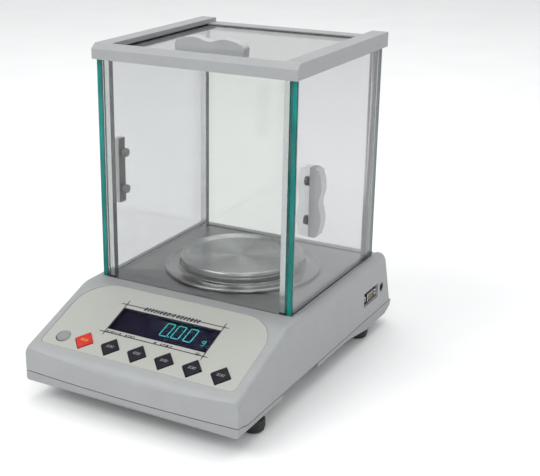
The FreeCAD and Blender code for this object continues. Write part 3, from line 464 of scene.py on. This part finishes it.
class BalanceColours(bpy.types.PropertyGroup):
    """Colours of the finishes."""
    case: bpy.props.FloatVectorProperty(
        name="Case", description="Paint of the case and top frame", default=(0.315, 0.324, 0.327),
        subtype="COLOR")
    panel: bpy.props.FloatVectorProperty(
        name="Panel", description="Printed film on the control panel", default=(0.385, 0.39, 0.36),
        subtype="COLOR")
    key: bpy.props.FloatVectorProperty(
        name="Keys", description="Black keys", default=(0.007, 0.007, 0.012), subtype="COLOR")
    power_key: bpy.props.FloatVectorProperty(
        name="Power key", description="Red key", default=(0.52, 0.028, 0.02), subtype="COLOR")
    digits: bpy.props.FloatVectorProperty(
        name="Digits", description="Lit digits", default=(0.07, 0.62, 0.5), subtype="COLOR")
    glass_edge: bpy.props.FloatVectorProperty(
        name="Glass edge", description="Polished edge of the glass", default=(0.006, 0.2, 0.175),
        subtype="COLOR")
    steel: bpy.props.FloatVectorProperty(
        name="Steel", description="Pan, ring and deck plate", default=(0.42, 0.424, 0.428),
        subtype="COLOR")


# ---------------------------------------------------------------- the pieces

def wave(part):
    """Height of the grip's outer face, 0 to 1, at part of its half length from the middle."""
    part = abs(part)
    if part < 0.43:
        return 0.89 - 0.11 * math.cos(math.pi * part / 0.43)
    return 0.70 + 0.30 * math.cos((part - 0.43) / 0.57 * math.pi / 2)


def grip_outline(half, reach):
    """Outline of a grip as (along, off the glass), in millimetres."""
    end = 3.0
    points = [(-half, 0.0)] + arc((-half + end, reach * 0.70 - end), end, 180, 105, 5)
    inner = half - end
    points += [(inner * step / 24, reach * wave(inner * step / 24 / half)) for step in range(-23, 24)]
    points += arc((half - end, reach * 0.70 - end), end, 75, 0, 5)
    return points + [(half, 0.0)]


def build_grip(name, node, body, along, out, material):
    """One grip: a waved bar with rounded edges and a flat back against the glass."""
    low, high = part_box(node)
    centre = (low + high) / 2
    size = high - low
    half = abs(size.dot(Vector(map(abs, along)))) / 2 / MM
    reach = abs(size.dot(Vector(map(abs, out)))) / MM
    width_axis = Vector((0, 1, 0))
    back = centre - out * reach * MM / 2
    bm = bmesh.new()
    rings = [[back + along * a * MM + out * o * MM + width_axis * side * MM for a,
              o in grip_outline(half, reach)]
             for side in (-5, 5)]
    skin(bm, rings)
    back_plane = [edge for edge in bm.edges if not all(abs((v.co - back).dot(out)) < 1e-6 for v in edge.verts)]
    rims = [edge for edge in back_plane if abs((edge.verts[0].co - edge.verts[1].co).y) < 1e-6]
    bmesh.ops.bevel(bm, geom=rims, offset=1.1 * MM, segments=4, profile=0.5, affect="EDGES",
                    clamp_overlap=True)
    add_piece(name, bm, [material], body, [node], 40)


def bar_outline(letter, width, height, thick):
    """One bar of a seven-bar digit as a bevel-ended outline, from the digit's lower left corner."""
    gap = thick * 0.12
    half = thick / 2
    left, right = half, width - half
    levels = {"a": height - half, "g": height / 2, "d": half}
    if letter in levels:
        y = levels[letter]
        return [(left + gap, y), (left + gap + half, y + half), (right - gap - half, y + half),
                (right - gap, y),
                (right - gap - half, y - half), (left + gap + half, y - half)]
    x = left if letter in "ef" else right
    low, high = (height / 2, height - half) if letter in "bf" else (half, height / 2)
    return [(x, low + gap), (x + half, low + gap + half), (x + half, high - gap - half),
            (x, high - gap),
            (x - half, high - gap - half), (x - half, low + gap + half)]


def panel_ring(bm, centre, outer, inner, low, high, count=28):
    """A flat oval ring on the panel; outer and inner are its half width and half height."""
    turns = [2 * math.pi * step / count for step in range(count)]
    rings = []
    for (wide, tall), out in ((outer, low), (outer, high), (inner, high), (inner, low), (outer, low)):
        rings.append([on_panel(centre[0] + wide * math.cos(t), centre[1] + tall * math.sin(t),
                               out) for t in turns])
    skin(bm, rings, False, False)


DIGITS_LEFT = (-4.1, 7.0, 18.9)
DIGITS_BASE = -4.0
POINT_PLACE = (5.6, -3.4)
UNIT_PLACE = (38.4, 0.6)
DIGIT_FACE = -4.65


def build_display(sizes, colours):
    """Black display with lit digits behind the tinted window."""
    height = sizes.digit_height
    lean = math.tan(sizes.digit_slant)
    low, high = DIGIT_FACE, DIGIT_FACE + 0.08
    bm = bmesh.new()
    for left in DIGITS_LEFT:
        for letter in "abcdef":
            bar = bar_outline(letter, height * 0.51, height, height * 0.06)
            panel_plate(bm, [(left + x + y * lean, DIGITS_BASE + y) for x, y in bar], low, high)
    panel_plate(bm, arc(POINT_PLACE, 0.75, 0, 330, 11), low, high)
    x, up = UNIT_PLACE
    panel_ring(bm, UNIT_PLACE, (1.7, 1.7), (1.0, 1.0), low, high)
    tail = [(1.0, 1.7), (1.7, 1.7), (1.7, -3.4), (0.7, -4.6), (-1.4, -4.6), (-1.6, -4.0), (0.4, -3.9),
            (1.0, -3.2)]
    panel_plate(bm, [(x + a, up + b) for a, b in tail], low, high)
    add_piece("display_digits", bm, [lit("display_phosphor", colours.digits, 2.2)], "balance")

    black = Finish("display_glass_black", rough=0.3, Specular_IOR_Level=0.1)
    black.paint(black.cells(900), (0.036, 0.031, 0.064), (0.044, 0.038, 0.078), 0.2, 0.6)
    finish_nodes(black.material, "display_module")
    tint = Finish("window_tint", Transmission_Weight=1.0, IOR=1.12)
    tint.paint(tint.noise(60, 3), (0.42, 0.4, 0.5), (0.45, 0.43, 0.54))
    tint.gloss(tint.noise(50, 3), 0.05, 0.12)
    finish_nodes(tint.material, "display_window")


def ink(name, colour):
    """Screen-printed ink with a slightly uneven edge to its gloss."""
    made = Finish(name)
    made.paint(made.noise(900, 3), shade(colour, 0.8), shade(colour, 1.2))
    made.gloss(made.noise(1500, 2), 0.35, 0.5)
    return made.material


INK_LOW, INK_TOP = 0.05, 0.17


def printed_bars(bm, start, stop, up, height, widths, slant=0.25, low=INK_LOW, high=INK_TOP, gap=0.5):
    """A line of small slanted bars, every other one split, that stands in for a line of print."""
    factor = (stop - start) / (sum(widths) + gap * (len(widths) - 1))
    x = start
    for index, width in enumerate(widths):
        reach = x + width * factor
        for bottom, top in ((0, 1),) if index % 2 == 0 else ((0, 0.4), (0.62, 1)):
            corners = ((x, bottom), (reach, bottom), (reach, top), (x, top))
            outline = [(side + part * height * slant, up + part * height) for side, part in corners]
            panel_plate(bm, outline, low, high)
        x = reach + gap * factor


def hairline(bm, start, stop, thick):
    """A fine printed line between two places on the panel, pointed at both ends."""
    start, stop = Vector(start), Vector(stop)
    along = (stop - start).normalized()
    side = Vector((-along.y, along.x)) * thick / 2
    inset = along * 3
    outline = [start, start + inset - side, stop - inset - side, stop, stop - inset + side,
               start + inset + side]
    panel_plate(bm, [(point.x, point.y) for point in outline], INK_LOW, INK_TOP)


def build_print(sizes, colours):
    """Hairlines round the window and the panel's generic print."""
    dark = ink("panel_ink", (0.014, 0.014, 0.022))
    low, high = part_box("display_window")
    half_x = (high.x - low.x) / 2 / MM
    half_up = (high.z - low.z) / 2 / MM / PANEL_UP.z
    bm = bmesh.new()
    for sign in (-1, 1):
        hairline(bm, (-half_x - 6.5, sign * half_up), (half_x + 5.5, sign * half_up), sizes.hairline)
        hairline(bm, (sign * half_x, -half_up - 5), (sign * half_x, half_up + 6), sizes.hairline)
    add_piece("window_hairlines", bm, [dark], "balance")
    bm = bmesh.new()
    printed_bars(bm, -30, 0.4, 15.7, 4.4, (1.0, 0.8, 0.9, 0.9, 0.7, 1.0, 1.0, 1.1, 0.4, 0.9))
    printed_bars(bm, 2.4, 24.5, 15.7, 4.4, (1.0, 1.1, 0.8, 1.0, 1.1, 0.9, 0.8))
    printed_bars(bm, -47.5, -33, -18.6, 2.9, (0.9, 0.7, 0.8, 0.7, 0.4, 0.5, 0.8))
    printed_bars(bm, -28.6, -19.6, -18.6, 2.9, (0.8, 0.8, 0.8, 0.9))
    printed_bars(bm, 0.2, 2.2, -18.6, 2.9, (0.9,))
    printed_bars(bm, 6.4, 17.4, -18.6, 2.9, (0.5, 0.9, 1.2, 0.9))
    panel_ring(bm, (42.8, -17.3), (2.5, 1.7), (2.0, 1.2), INK_LOW, INK_TOP)
    printed_bars(bm, 41.6, 44, -17.7, 0.8, (1.0,), 0)
    add_piece("panel_print", bm, [dark], "balance")


def diamond(half_x, half_y, round_by, steps=4):
    """A diamond outline with rounded corners."""
    corners = [(half_x, 0), (0, half_y), (-half_x, 0), (0, -half_y)]
    points = []
    for index, corner in enumerate(corners):
        before = Vector(corners[index - 1]) - Vector(corner)
        after = Vector(corners[(index + 1) % 4]) - Vector(corner)
        start = Vector(corner) + before.normalized() * round_by
        stop = Vector(corner) + after.normalized() * round_by
        for step in range(steps + 1):
            part = step / steps
            point = start * (1 - part) ** 2 + Vector(corner) * 2 * part * (1 - part) + stop * part ** 2
            points.append((point.x, point.y))
    return points


KEY_TOP = 0.9
LEVEL_BELOW_KEYS = -0.5


def build_keys(sizes, colours):
    """Six diamond keys with a soft crown, their flange, stem and a printed mark."""
    pale, amber = ink("key_ink", (0.2, 0.2, 0.21)), ink("power_ink", (0.62, 0.3, 0.05))
    crown = sizes.key_crown
    layers = [(11.2, 12.2, -5.3), (11.2, 12.2, -4.1), (9.3, 10.2, -4.1), (9.3, 10.2, KEY_TOP - crown),
              (9.3 - crown * 0.3, 10.2 - crown * 0.3, KEY_TOP - crown * 0.3),
              (9.3 - crown, 10.2 - crown, KEY_TOP)]
    for joint in frame["joints"]:
        if not joint["name"].endswith("_press"):
            continue
        key = joint["name"].replace("_press", "")
        node = f"key_{key}"
        x, up = panel_place(node)
        red = key == "power"
        material = moulded(f"{node}_face", colours.power_key if red else colours.key, (0.42, 0.55),
                           shine=0.2)
        bm = bmesh.new()
        rings = [[on_panel(x + px, up + py, out) for px, py in diamond(wide, tall, 0.8)] for wide, tall,
                 out in layers]
        skin(bm, rings)
        stem = [[on_panel(x + 2 * math.cos(a), up + 2 * math.sin(a), out) for a in
                 (2 * math.pi * step / 24 for step in range(24))] for out in (-9.1, -5.2)]
        skin(bm, stem)
        add_piece(f"{node}_cap", bm, [material], joint["child"],
                  [node], 30)
        bm = bmesh.new()
        letters = (0.9, 0.7, 0.9, 0.5, 0.8) if red else (0.9, 0.7, 0.9, 0.8)
        printed_bars(bm, x - 3.4, x + 2.9, up - 1.3, 2.8, letters, 0.15, KEY_TOP - 0.06, KEY_TOP + 0.06,
                     0.7)
        add_piece(f"{node}_mark", bm, [amber if red else pale], joint["child"])


def build_level(colours):
    """Spirit level: a frosted lens set flush in the film with a dark ring round it, in place of the moulded vial
    and its pale backing.
    """
    low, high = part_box("level_vial")
    hub = Vector(((low.x + high.x) / 2, (low.y + high.y) / 2, high.z))
    clear = Finish("vial_acrylic", Transmission_Weight=1.0, IOR=1.49)
    clear.paint(clear.noise(80, 3), (0.88, 0.91, 0.88), (0.94, 0.96, 0.94))
    clear.gloss(clear.noise(300, 3), 0.02, 0.08)
    finish_nodes(clear.material, "level_vial")
    frosted = Finish("level_frosted", Specular_IOR_Level=0.3)
    away = frosted.ring_distance(hub)
    # Painted shade: the lens is lighter in the middle and darker towards its rim.
    frosted.paint(away, shade(colours.case, 0.78), shade(colours.case, 0.56), 0.0035, 0.0062)
    frosted.gloss(frosted.noise(500, 3), 0.3, 0.45)
    frosted.relief(frosted.noise(1500, 2), 0.02, 0.3)
    dark = ink("level_rim", shade(colours.case, 0.45))
    x = (hub - WINDOW_MIDDLE).dot(ACROSS) / MM
    up = panel_place("key_power")[1] + LEVEL_BELOW_KEYS
    bm = bmesh.new()
    profile = [(0.02, -0.6), (6.2, -0.6), (6.2, 0.0), (5.9, 0.12), (4.0, 0.17), (0.02, 0.2)]
    turns = [2 * math.pi * step / 64 for step in range(64)]
    skin(bm,
         [[on_panel(x + r * math.cos(t), up + r * math.sin(t), out) for t in turns] for r,
          out in profile])
    add_piece("level_lens", bm, [frosted.material], "balance", ["level_vial"], 50)
    bm = bmesh.new()
    panel_ring(bm, (x, up), (6.45, 6.45), (6.15, 6.15), -0.5, 0.13, 64)
    add_piece("level_rim", bm, [dark], "balance")


def build_knobs(sizes, colours):
    """Ribbed clamping knobs inside the doors, with the screws that pass through the glass."""
    plastic = moulded("knob_plastic", shade(colours.case, 1.05), (0.35, 0.5))
    profile = [(1.4, 9.8), (1.5, 9.6), (1.5, 0.0), (3.7, 0.0), (4.0, -0.3), (4.0, -3.2), (3.7, -3.8),
               (3.0, -4.0), (1.3, -4.0), (1.1, -3.6), (0, -3.5)]
    for door, axis in (("left", "-x"), ("right", "x"), ("top", "z")):
        node = f"{door}_door_knobs"
        low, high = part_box(node)
        glass_low, glass_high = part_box(f"{door}_door_glass")
        for index, end in enumerate((0, 1)):
            if axis == "z":
                place = Vector(((low.x + 4 * MM, high.x - 4 * MM)[end], (low.y + high.y) / 2,
                                glass_low.z))
            else:
                face = glass_high.x if axis == "-x" else glass_low.x
                place = Vector((face, (low.y + high.y) / 2, (low.z + 4 * MM, high.z - 4 * MM)[end]))
            bm = bmesh.new()
            turned(bm, profile, place, axis, 64, sizes.knob_ribs, 0.25)
            add_piece(f"{door}_knob_{index}", bm, [plastic], f"{door}_door", [node], 40)


def build_pan(colours):
    """Spun pan with a rolled rim, and the draught ring round it."""
    centre = Vector((PAN_AXIS.x, PAN_AXIS.y, DECK))
    steel = spun_metal("pan_spun_steel", colours.steel, centre)
    rim = 2.7
    middle_r = 53.3
    profile = [(0, 10.5), (20, 10.5), (40, 10.5), (47.6, 10.5)] + arc((47.6, 12.0), 1.5, -90, -35, 4)
    profile += arc((middle_r, 10.4), rim, 150, -75, 18)
    profile += [(54.2, 7.6), (54.2, 5.5), (54.0, 5.3), (53.2, 5.3), (53.0, 5.5), (53.0, 8.8),
                (52.2, 9.3), (8.4, 9.3),
                (8.0, 8.9), (8.0, 4.2), (7.8, 4.0), (4.3, 4.0), (4.05, 4.25), (4.05, 8.8), (0, 8.9)]
    bm = bmesh.new()
    turned(bm, profile, centre, count=160)
    add_piece("pan_dish", bm, [steel], "pan", ["weighing_pan"], 50)
    ring_steel = spun_metal("ring_spun_steel", shade(colours.steel, 0.96), centre, (0.14, 0.26))
    outer = (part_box("draught_ring")[1].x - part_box("draught_ring")[0].x) / 2 / MM
    bm = bmesh.new()
    profile = [(57.5, 0.02), (57.5, 3.6)] + arc((58.0, 3.7), 0.5, 170, 10, 5) + [(58.5, 3.5),
                                                                                 (58.6, 2.0)]
    profile += arc((59.4, 2.0), 0.8, 180, 270, 4) + [(64, 1.2), (67.6, 1.2)]
    profile += arc((outer - 1.5, 1.5), 1.5, 165, -80, 14) + [(outer - 1.7, 0.02)]
    turned_ring(bm, profile, centre)
    add_piece("ring_dish", bm, [ring_steel], "balance", ["draught_ring"], 50)


def turned_ring(bm, profile, centre, count=160):
    """Turn a closed profile that doesn't reach the axis."""
    turns = [2 * math.pi * step / count for step in range(count)]
    rings = []
    for radius, height in profile + profile[:1]:
        rings.append([centre + Vector((radius * math.cos(t), radius * math.sin(t),
                                       height)) * MM for t in turns])
    skin(bm, rings, False, False)


def build_panes(sizes, colours):
    """Glass panes with polished green edges and a painted dark shade line along each arris."""
    door_glass = clear_glass("door_glass", (0.75, 0.745, 0.775))
    lid_glass = clear_glass("lid_glass", (0.69, 0.7, 0.7))
    fixed_glass = clear_glass("fixed_glass", (0.8, 0.82, 0.8))
    edge = glass_edge("shield_glass_edge", colours.glass_edge)
    # Painted shade: the chamfer faces along each arris take a darker edge colour.
    arris = glass_edge("shield_glass_arris", shade(colours.glass_edge, 0.25))
    for node, body, thin, clear in (
        ("left_door_glass", "left_door", 0, door_glass),
        ("right_door_glass", "right_door", 0, door_glass),
        ("top_door_glass", "top_door", 2, lid_glass),
        ("front_glass", "balance", 1, fixed_glass),
        ("rear_glass", "balance", 1, fixed_glass),
    ):
        bm = bmesh.new()
        slab(bm, *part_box(node), sizes.edge_polish)
        for face in bm.faces:
            face.normal_update()
            square = max(abs(part) for part in face.normal) > 0.98
            face.material_index = 2 if not square else 0 if abs(face.normal[thin]) > 0.98 else 1
        add_piece(node.replace("_glass", "_pane"), bm, [clear, edge, arris], body,
                  [node], 20)


def build_feet(sizes):
    """Ribbed levelling feet with a rounded sole."""
    rubber = moulded("foot_moulded", (0.012, 0.012, 0.013), (0.4, 0.6), 1200, 0.05)
    for corner in ("front_left", "front_right", "rear_left", "rear_right"):
        low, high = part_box(f"foot_{corner}")
        base = Vector(((low.x + high.x) / 2, (low.y + high.y) / 2, low.z))
        tall = (high.z - low.z) / MM
        profile = [(0, 2.5), (1.2, 2.5), (1.2, 0.0), (6.5, 0.0)] + arc((6.8, 2.6), 2.6, -80, -10, 4)
        profile += [(9.7, 3.6), (10.0, 4.4), (10.0, tall - 2.2)] + arc((8.4, tall - 1.6), 1.6, 0, 90, 4)
        profile += [(4.0, tall), (3.1, tall - 0.5), (3.1, 2.6), (0, 2.6)]
        bm = bmesh.new()
        turned(bm, profile, base, count=160, flutes=sizes.foot_ribs, depth=0.35)
        add_piece(f"foot_pad_{corner}", bm, [rubber], f"{corner}_foot",
                  [f"foot_{corner}"], 40)


def d_outline(half_y, half_z, slant, round_by):
    """The D of a serial plug, as (y, z), with rounded corners."""
    corners = [(-half_y, half_z), (half_y, half_z), (half_y - slant, -half_z),
               (-half_y + slant, -half_z)]
    points = []
    for index, corner in enumerate(corners):
        corner = Vector(corner)
        before = (Vector(corners[index - 1]) - corner).normalized()
        after = (Vector(corners[(index + 1) % 4]) - corner).normalized()
        for step in range(6):
            part = step / 5
            start, stop = corner + before * round_by, corner + after * round_by
            point = start * (1 - part) ** 2 + corner * 2 * part * (1 - part) + stop * part ** 2
            points.append((point.x, point.y))
    return points


def build_ports():
    """Nine-way serial socket with hex jack sockets, and the power inlet."""
    low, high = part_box("serial_connector")
    centre = (low + high) / 2
    tip = high.x
    flange = tip - 5.8 * MM
    height = joint_height()
    shell_metal = polished("connector_shell", (0.62, 0.61, 0.57), (0.15, 0.3))
    gold = polished("connector_contacts", (0.8, 0.58, 0.25), (0.15, 0.25))
    black = moulded("connector_insulator", (0.015, 0.015, 0.017), (0.35, 0.5))

    def around(y, z, x):
        return Vector((x, centre.y + y * MM, height + z * MM))

    bm = bmesh.new()
    slab(bm, around(-15.4, -6.2, flange - 1 * MM), around(15.4, 6.2, flange), 0.25)
    loops = [(flange, 8.5, 4.2), (tip - 0.3 * MM, 8.5, 4.2), (tip, 8.2, 3.9), (tip, 8.05, 3.75),
             (tip - 0.3 * MM, 8.05, 3.75), (flange + 0.3 * MM, 8.05, 3.75)]
    skin(bm, [[around(y, z, x) for y, z in d_outline(wide, tall, 1.4, 1.8)] for x, wide, tall in loops])
    for side in (-12.495, 12.495):
        hexes = [(flange, 2.9), (flange + 4.5 * MM, 2.9), (flange + 4.8 * MM, 2.6),
                 (flange + 4.8 * MM, 1.42),
                 (flange + 0.5 * MM, 1.42)]
        skin(bm,
             [[around(side + r * math.cos(math.pi * s / 12), r * math.sin(math.pi * s / 12),
                      x) for s in range(24)]
                  if r < 2 else
                  [around(side + hex_reach(s, r) * math.cos(math.pi * s / 12),
                          hex_reach(s, r) * math.sin(math.pi * s / 12), x) for s in range(24)] for x,
                          r in hexes])
    add_piece("serial_shell", bm, [shell_metal], "balance", ["serial_connector"], 35)
    bm = bmesh.new()
    skin(bm,
         [[around(y, z, x) for y, z in d_outline(7.6, 3.4, 1.3, 1.6)] for x in (flange,
                                                                                tip - 0.6 * MM)])
    slab(bm, around(-9.8, -7.2, flange - 11 * MM), around(9.8, 5.2, flange - 1 * MM), 0.3)
    add_piece("serial_insulator", bm, [black], "balance", sharp=35)
    bm = bmesh.new()
    for row, count in ((1.42, 5), (-1.42, 4)):
        for index in range(count):
            y = (index - (count - 1) / 2) * 2.77
            turned(bm, [(0, -0.5), (0.75, -0.5), (0.75, 0.06), (0.45, 0.06), (0.45, -0.4), (0, -0.4)],
                   around(y, row, tip - 0.6 * MM), "x", 20)
    add_piece("serial_contacts", bm, [gold], "balance")
    finish_nodes(black, "dc_jack")


def joint_height():
    """Height of the connectors' middles, which the record gives for the jack screws."""
    mounts = frame["record"]["mounts"]
    return next(mount["pos_m"][2] for mount in mounts if mount["name"] == "jack_screws")


def hex_reach(step, across):
    """Reach of a hexagon's edge at one of 24 directions."""
    angle = math.radians(step * 15) % math.radians(60) - math.radians(30)
    return across * math.cos(math.radians(30)) / math.cos(angle)


def finish_case(colours):
    """Painted case, cover, top frame and tracks."""
    finish_nodes(textured_paint("case_paint", colours.case), "upper_housing")
    finish_nodes(textured_paint("cover_plastic", shade(colours.case, 0.93), 1700, 0.06), "bottom_cover")
    finish_nodes(textured_paint("frame_paint", shade(colours.case, 0.98), 2400, 0.035, (0.36, 0.5)),
                 "top_front_bar", "top_rail_left", "top_rail_right", "top_rear_bar", "top_rear_cap")
    film = Finish("panel_film")
    film.paint(film.noise(1800, 2), shade(colours.panel, 0.975), shade(colours.panel, 1.02))
    film.gloss(film.noise(1200, 2), 0.3, 0.42)
    film.relief(film.noise(2600, 1), 0.02, 0.25)
    finish_nodes(film.material, "panel_overlay")
    finish_nodes(brushed_metal("deck_brushed_steel", shade(colours.steel, 0.72), "x", (0.26, 0.4)),
                 "deck_plate")
    finish_nodes(brushed_metal("track_alloy", (0.62, 0.63, 0.64), "y"), "door_track_left",
                 "door_track_right")
    # Front and rear left posts: bright faces with a painted dark reflection on the flanks.
    finish_nodes(square_chrome("post_chrome", (0.62, 0.64, 0.66), (0.1, 0.1, 0.11)),
                 "post_front_left", "post_front_right", "post_rear_left")
    # Rear right post: painted reflection in upright streaks.
    finish_nodes(painted_reflection_chrome("shaded_post_chrome", (0.02, 0.018, 0.02), (0.6, 0.61, 0.62)),
                 "post_rear_right")


def finish_inside():
    """Mechanism, boards and fasteners behind the case."""
    finish_nodes(brushed_metal("cell_alloy", (0.72, 0.73, 0.74), "y"), "load_cell", "cell_base",
                 "cell_bracket")
    finish_nodes(brushed_metal("chassis_steel", (0.5, 0.5, 0.5), "y"), "chassis_plate")
    finish_nodes(brushed_metal("spindle_steel", (0.6, 0.6, 0.6), "z"), "pan_spindle")
    finish_nodes(polished("screw_zinc", (0.6, 0.6, 0.6), (0.2, 0.35)), "case_screws", "post_screws",
                 "bracket_screws",
                 "mechanism_screws", "foot_stud_front_left", "foot_stud_front_right",
                 "foot_stud_rear_left",
                 "foot_stud_rear_right")
    finish_nodes(polished("insert_brass", (0.7, 0.5, 0.22), (0.2, 0.35)), "foot_inserts")
    finish_nodes(circuit("board_green", (0.012, 0.11, 0.045), (0.03, 0.19, 0.07)), "main_board",
                 "display_board")
    finish_nodes(moulded("switch_black", (0.02, 0.02, 0.02)), "key_switches")


# ------------------------------------------------------------------ the stage

CAMERA_PLACE = Vector((0.4677, -0.8225, 0.4502))
CAMERA_TURN = 30.3105
CAMERA_TILT = -19.4055
CAMERA_LENS = 74.32
CAMERA_SHIFT = 0.1126


def add_light(name, place, target, size, power, colour=(1, 1, 1)):
    data = bpy.data.lights.new(name, "AREA")
    data.shape = "RECTANGLE"
    data.size, data.size_y = size
    data.energy = power
    data.color = colour
    light = bpy.data.objects.new(name, data)
    light.location = place
    light.rotation_euler = (Vector(target) - Vector(place)).to_track_quat("-Z", "Y").to_euler()
    bpy.context.scene.collection.objects.link(light)
    return light


def build_stage():
    """Pale floor that sweeps up behind, soft lights and the camera."""
    paper = Finish("studio_paper")
    paper.paint(paper.noise(6, 3), (0.87, 0.87, 0.87), (0.89, 0.89, 0.89))
    paper.gloss(paper.noise(20, 2), 0.75, 0.9)
    profile = [(-3.5, 0)] + arc((2.6, 1.2), 1.2, -90, 0, 16) + [(3.8, 5.0)]
    bm = bmesh.new()
    rows = [[bm.verts.new(Vector((x, y, z)) - Vector((0, 0, 0.0002))) for y, z in profile] for x in (-6,
                                                                                                     6)]
    turn = Matrix.Rotation(math.radians(30), 4, "Z")
    for index in range(len(profile) - 1):
        bm.faces.new((rows[0][index], rows[1][index], rows[1][index + 1], rows[0][index + 1]))
    bmesh.ops.transform(bm, matrix=turn, verts=bm.verts)
    mesh = bpy.data.meshes.new("studio_floor")
    bm.to_mesh(mesh)
    bm.free()
    for polygon in mesh.polygons:
        polygon.use_smooth = True
    mesh.materials.append(paper.material)
    floor = bpy.data.objects.new("studio_floor", mesh)
    bpy.context.scene.collection.objects.link(floor)

    add_light("key_softbox", (-0.9, -1.5, 1.9), (0, 0, 0.1), (1.6, 1.2), 26)
    add_light("side_softbox", (1.0, -1.2, 0.9), (0.1, -0.1, 0.1), (0.7, 0.9), 3.2)
    add_light("top_softbox", (0.1, 0.5, 2.2), (0, 0.1, 0.1), (2.0, 2.0), 22)
    world = bpy.data.worlds.new("studio_air")
    world.use_nodes = True
    world.node_tree.nodes["Background"].inputs["Color"].default_value = (0.98, 0.99, 1.0, 1)
    world.node_tree.nodes["Background"].inputs["Strength"].default_value = 0.75
    bpy.context.scene.world = world

    data = bpy.data.cameras.new("bench_camera")
    data.lens = CAMERA_LENS
    data.sensor_width = 36
    data.shift_x = CAMERA_SHIFT
    data.clip_start, data.clip_end = 0.05, 30
    camera = bpy.data.objects.new("bench_camera", data)
    turn, tilt = math.radians(CAMERA_TURN), math.radians(CAMERA_TILT)
    ahead = Vector((-math.sin(turn) * math.cos(tilt), math.cos(turn) * math.cos(tilt), math.sin(tilt)))
    camera.location = CAMERA_PLACE
    camera.rotation_euler = ahead.to_track_quat("-Z", "Y").to_euler()
    bpy.context.scene.collection.objects.link(camera)
    bpy.context.scene.camera = camera
    bpy.context.scene.view_settings.view_transform = "Standard"


# ------------------------------------------------------------------ operators

class StageOperator(bpy.types.Operator):
    """Set up the pale floor, soft lights and camera"""
    bl_idname = "balance.stage"
    bl_label = "Studio"

    def execute(self, context):
        build_stage()
        return {"FINISHED"}


class CaseOperator(bpy.types.Operator):
    """Finish the case, panel film, deck, posts and top frame"""
    bl_idname = "balance.case"
    bl_label = "Case and frame"

    def execute(self, context):
        finish_case(context.scene.balance_colours)
        return {"FINISHED"}


class PanelOperator(bpy.types.Operator):
    """Build the display's digits, the hairlines and the panel's print"""
    bl_idname = "balance.panel"
    bl_label = "Panel and display"

    def execute(self, context):
        build_display(context.scene.balance_sizes, context.scene.balance_colours)
        build_print(context.scene.balance_sizes, context.scene.balance_colours)
        build_level(context.scene.balance_colours)
        return {"FINISHED"}


class KeysOperator(bpy.types.Operator):
    """Build the six diamond keys"""
    bl_idname = "balance.keys"
    bl_label = "Keys"

    def execute(self, context):
        build_keys(context.scene.balance_sizes, context.scene.balance_colours)
        return {"FINISHED"}


class ShieldOperator(bpy.types.Operator):
    """Build the glass panes, the grips and the clamping knobs of the draught shield"""
    bl_idname = "balance.shield"
    bl_label = "Draught shield"

    def execute(self, context):
        sizes, colours = context.scene.balance_sizes, context.scene.balance_colours
        build_panes(sizes, colours)
        plastic = textured_paint("grip_plastic", shade(colours.case, 1.35), 1500, 0.04)
        up, right = Vector((0, 0, 1)), Vector((1, 0, 0))
        build_grip("left_grip", "left_door_grip", "left_door", up, -right, plastic)
        build_grip("right_grip", "right_door_grip", "right_door", up, right, plastic)
        build_grip("top_grip", "top_door_grip", "top_door", right, up, plastic)
        build_knobs(sizes, colours)
        return {"FINISHED"}


class PanOperator(bpy.types.Operator):
    """Build the weighing pan and the draught ring"""
    bl_idname = "balance.pan"
    bl_label = "Pan and ring"

    def execute(self, context):
        build_pan(context.scene.balance_colours)
        return {"FINISHED"}


class PortsOperator(bpy.types.Operator):
    """Build the serial socket and finish the power inlet"""
    bl_idname = "balance.ports"
    bl_label = "Connectors"

    def execute(self, context):
        build_ports()
        return {"FINISHED"}


class FeetOperator(bpy.types.Operator):
    """Build the four levelling feet"""
    bl_idname = "balance.feet"
    bl_label = "Feet"

    def execute(self, context):
        build_feet(context.scene.balance_sizes)
        return {"FINISHED"}


class InsideOperator(bpy.types.Operator):
    """Finish the mechanism, boards and fasteners inside the case"""
    bl_idname = "balance.inside"
    bl_label = "Inside"

    def execute(self, context):
        finish_inside()
        return {"FINISHED"}


OPERATORS = (StageOperator, CaseOperator, PanelOperator, KeysOperator, ShieldOperator, PanOperator,
             PortsOperator,
             FeetOperator, InsideOperator)


class BalancePanel(bpy.types.Panel):
    """Lists the steps that build the balance"""
    bl_idname = "VIEW3D_PT_balance"
    bl_label = "Analytical balance"
    bl_space_type = "VIEW_3D"
    bl_region_type = "UI"
    bl_category = "Balance"

    def draw(self, context):
        for group in (context.scene.balance_sizes, context.scene.balance_colours):
            for name in group.__annotations__:
                self.layout.prop(group, name)
        for operator in OPERATORS:
            self.layout.operator(operator.bl_idname)


CLASSES = (BalanceSizes, BalanceColours, *OPERATORS, BalancePanel)


def register():
    for item in CLASSES:
        bpy.utils.register_class(item)
    bpy.types.Scene.balance_sizes = bpy.props.PointerProperty(type=BalanceSizes)
    bpy.types.Scene.balance_colours = bpy.props.PointerProperty(type=BalanceColours)


def unregister():
    del bpy.types.Scene.balance_colours
    del bpy.types.Scene.balance_sizes
    for item in reversed(CLASSES):
        bpy.utils.unregister_class(item)


def main():
    register()
    for operator in OPERATORS:
        group, name = operator.bl_idname.split(".")
        getattr(getattr(bpy.ops, group), name)()


if __name__ == "__main__":
    main()
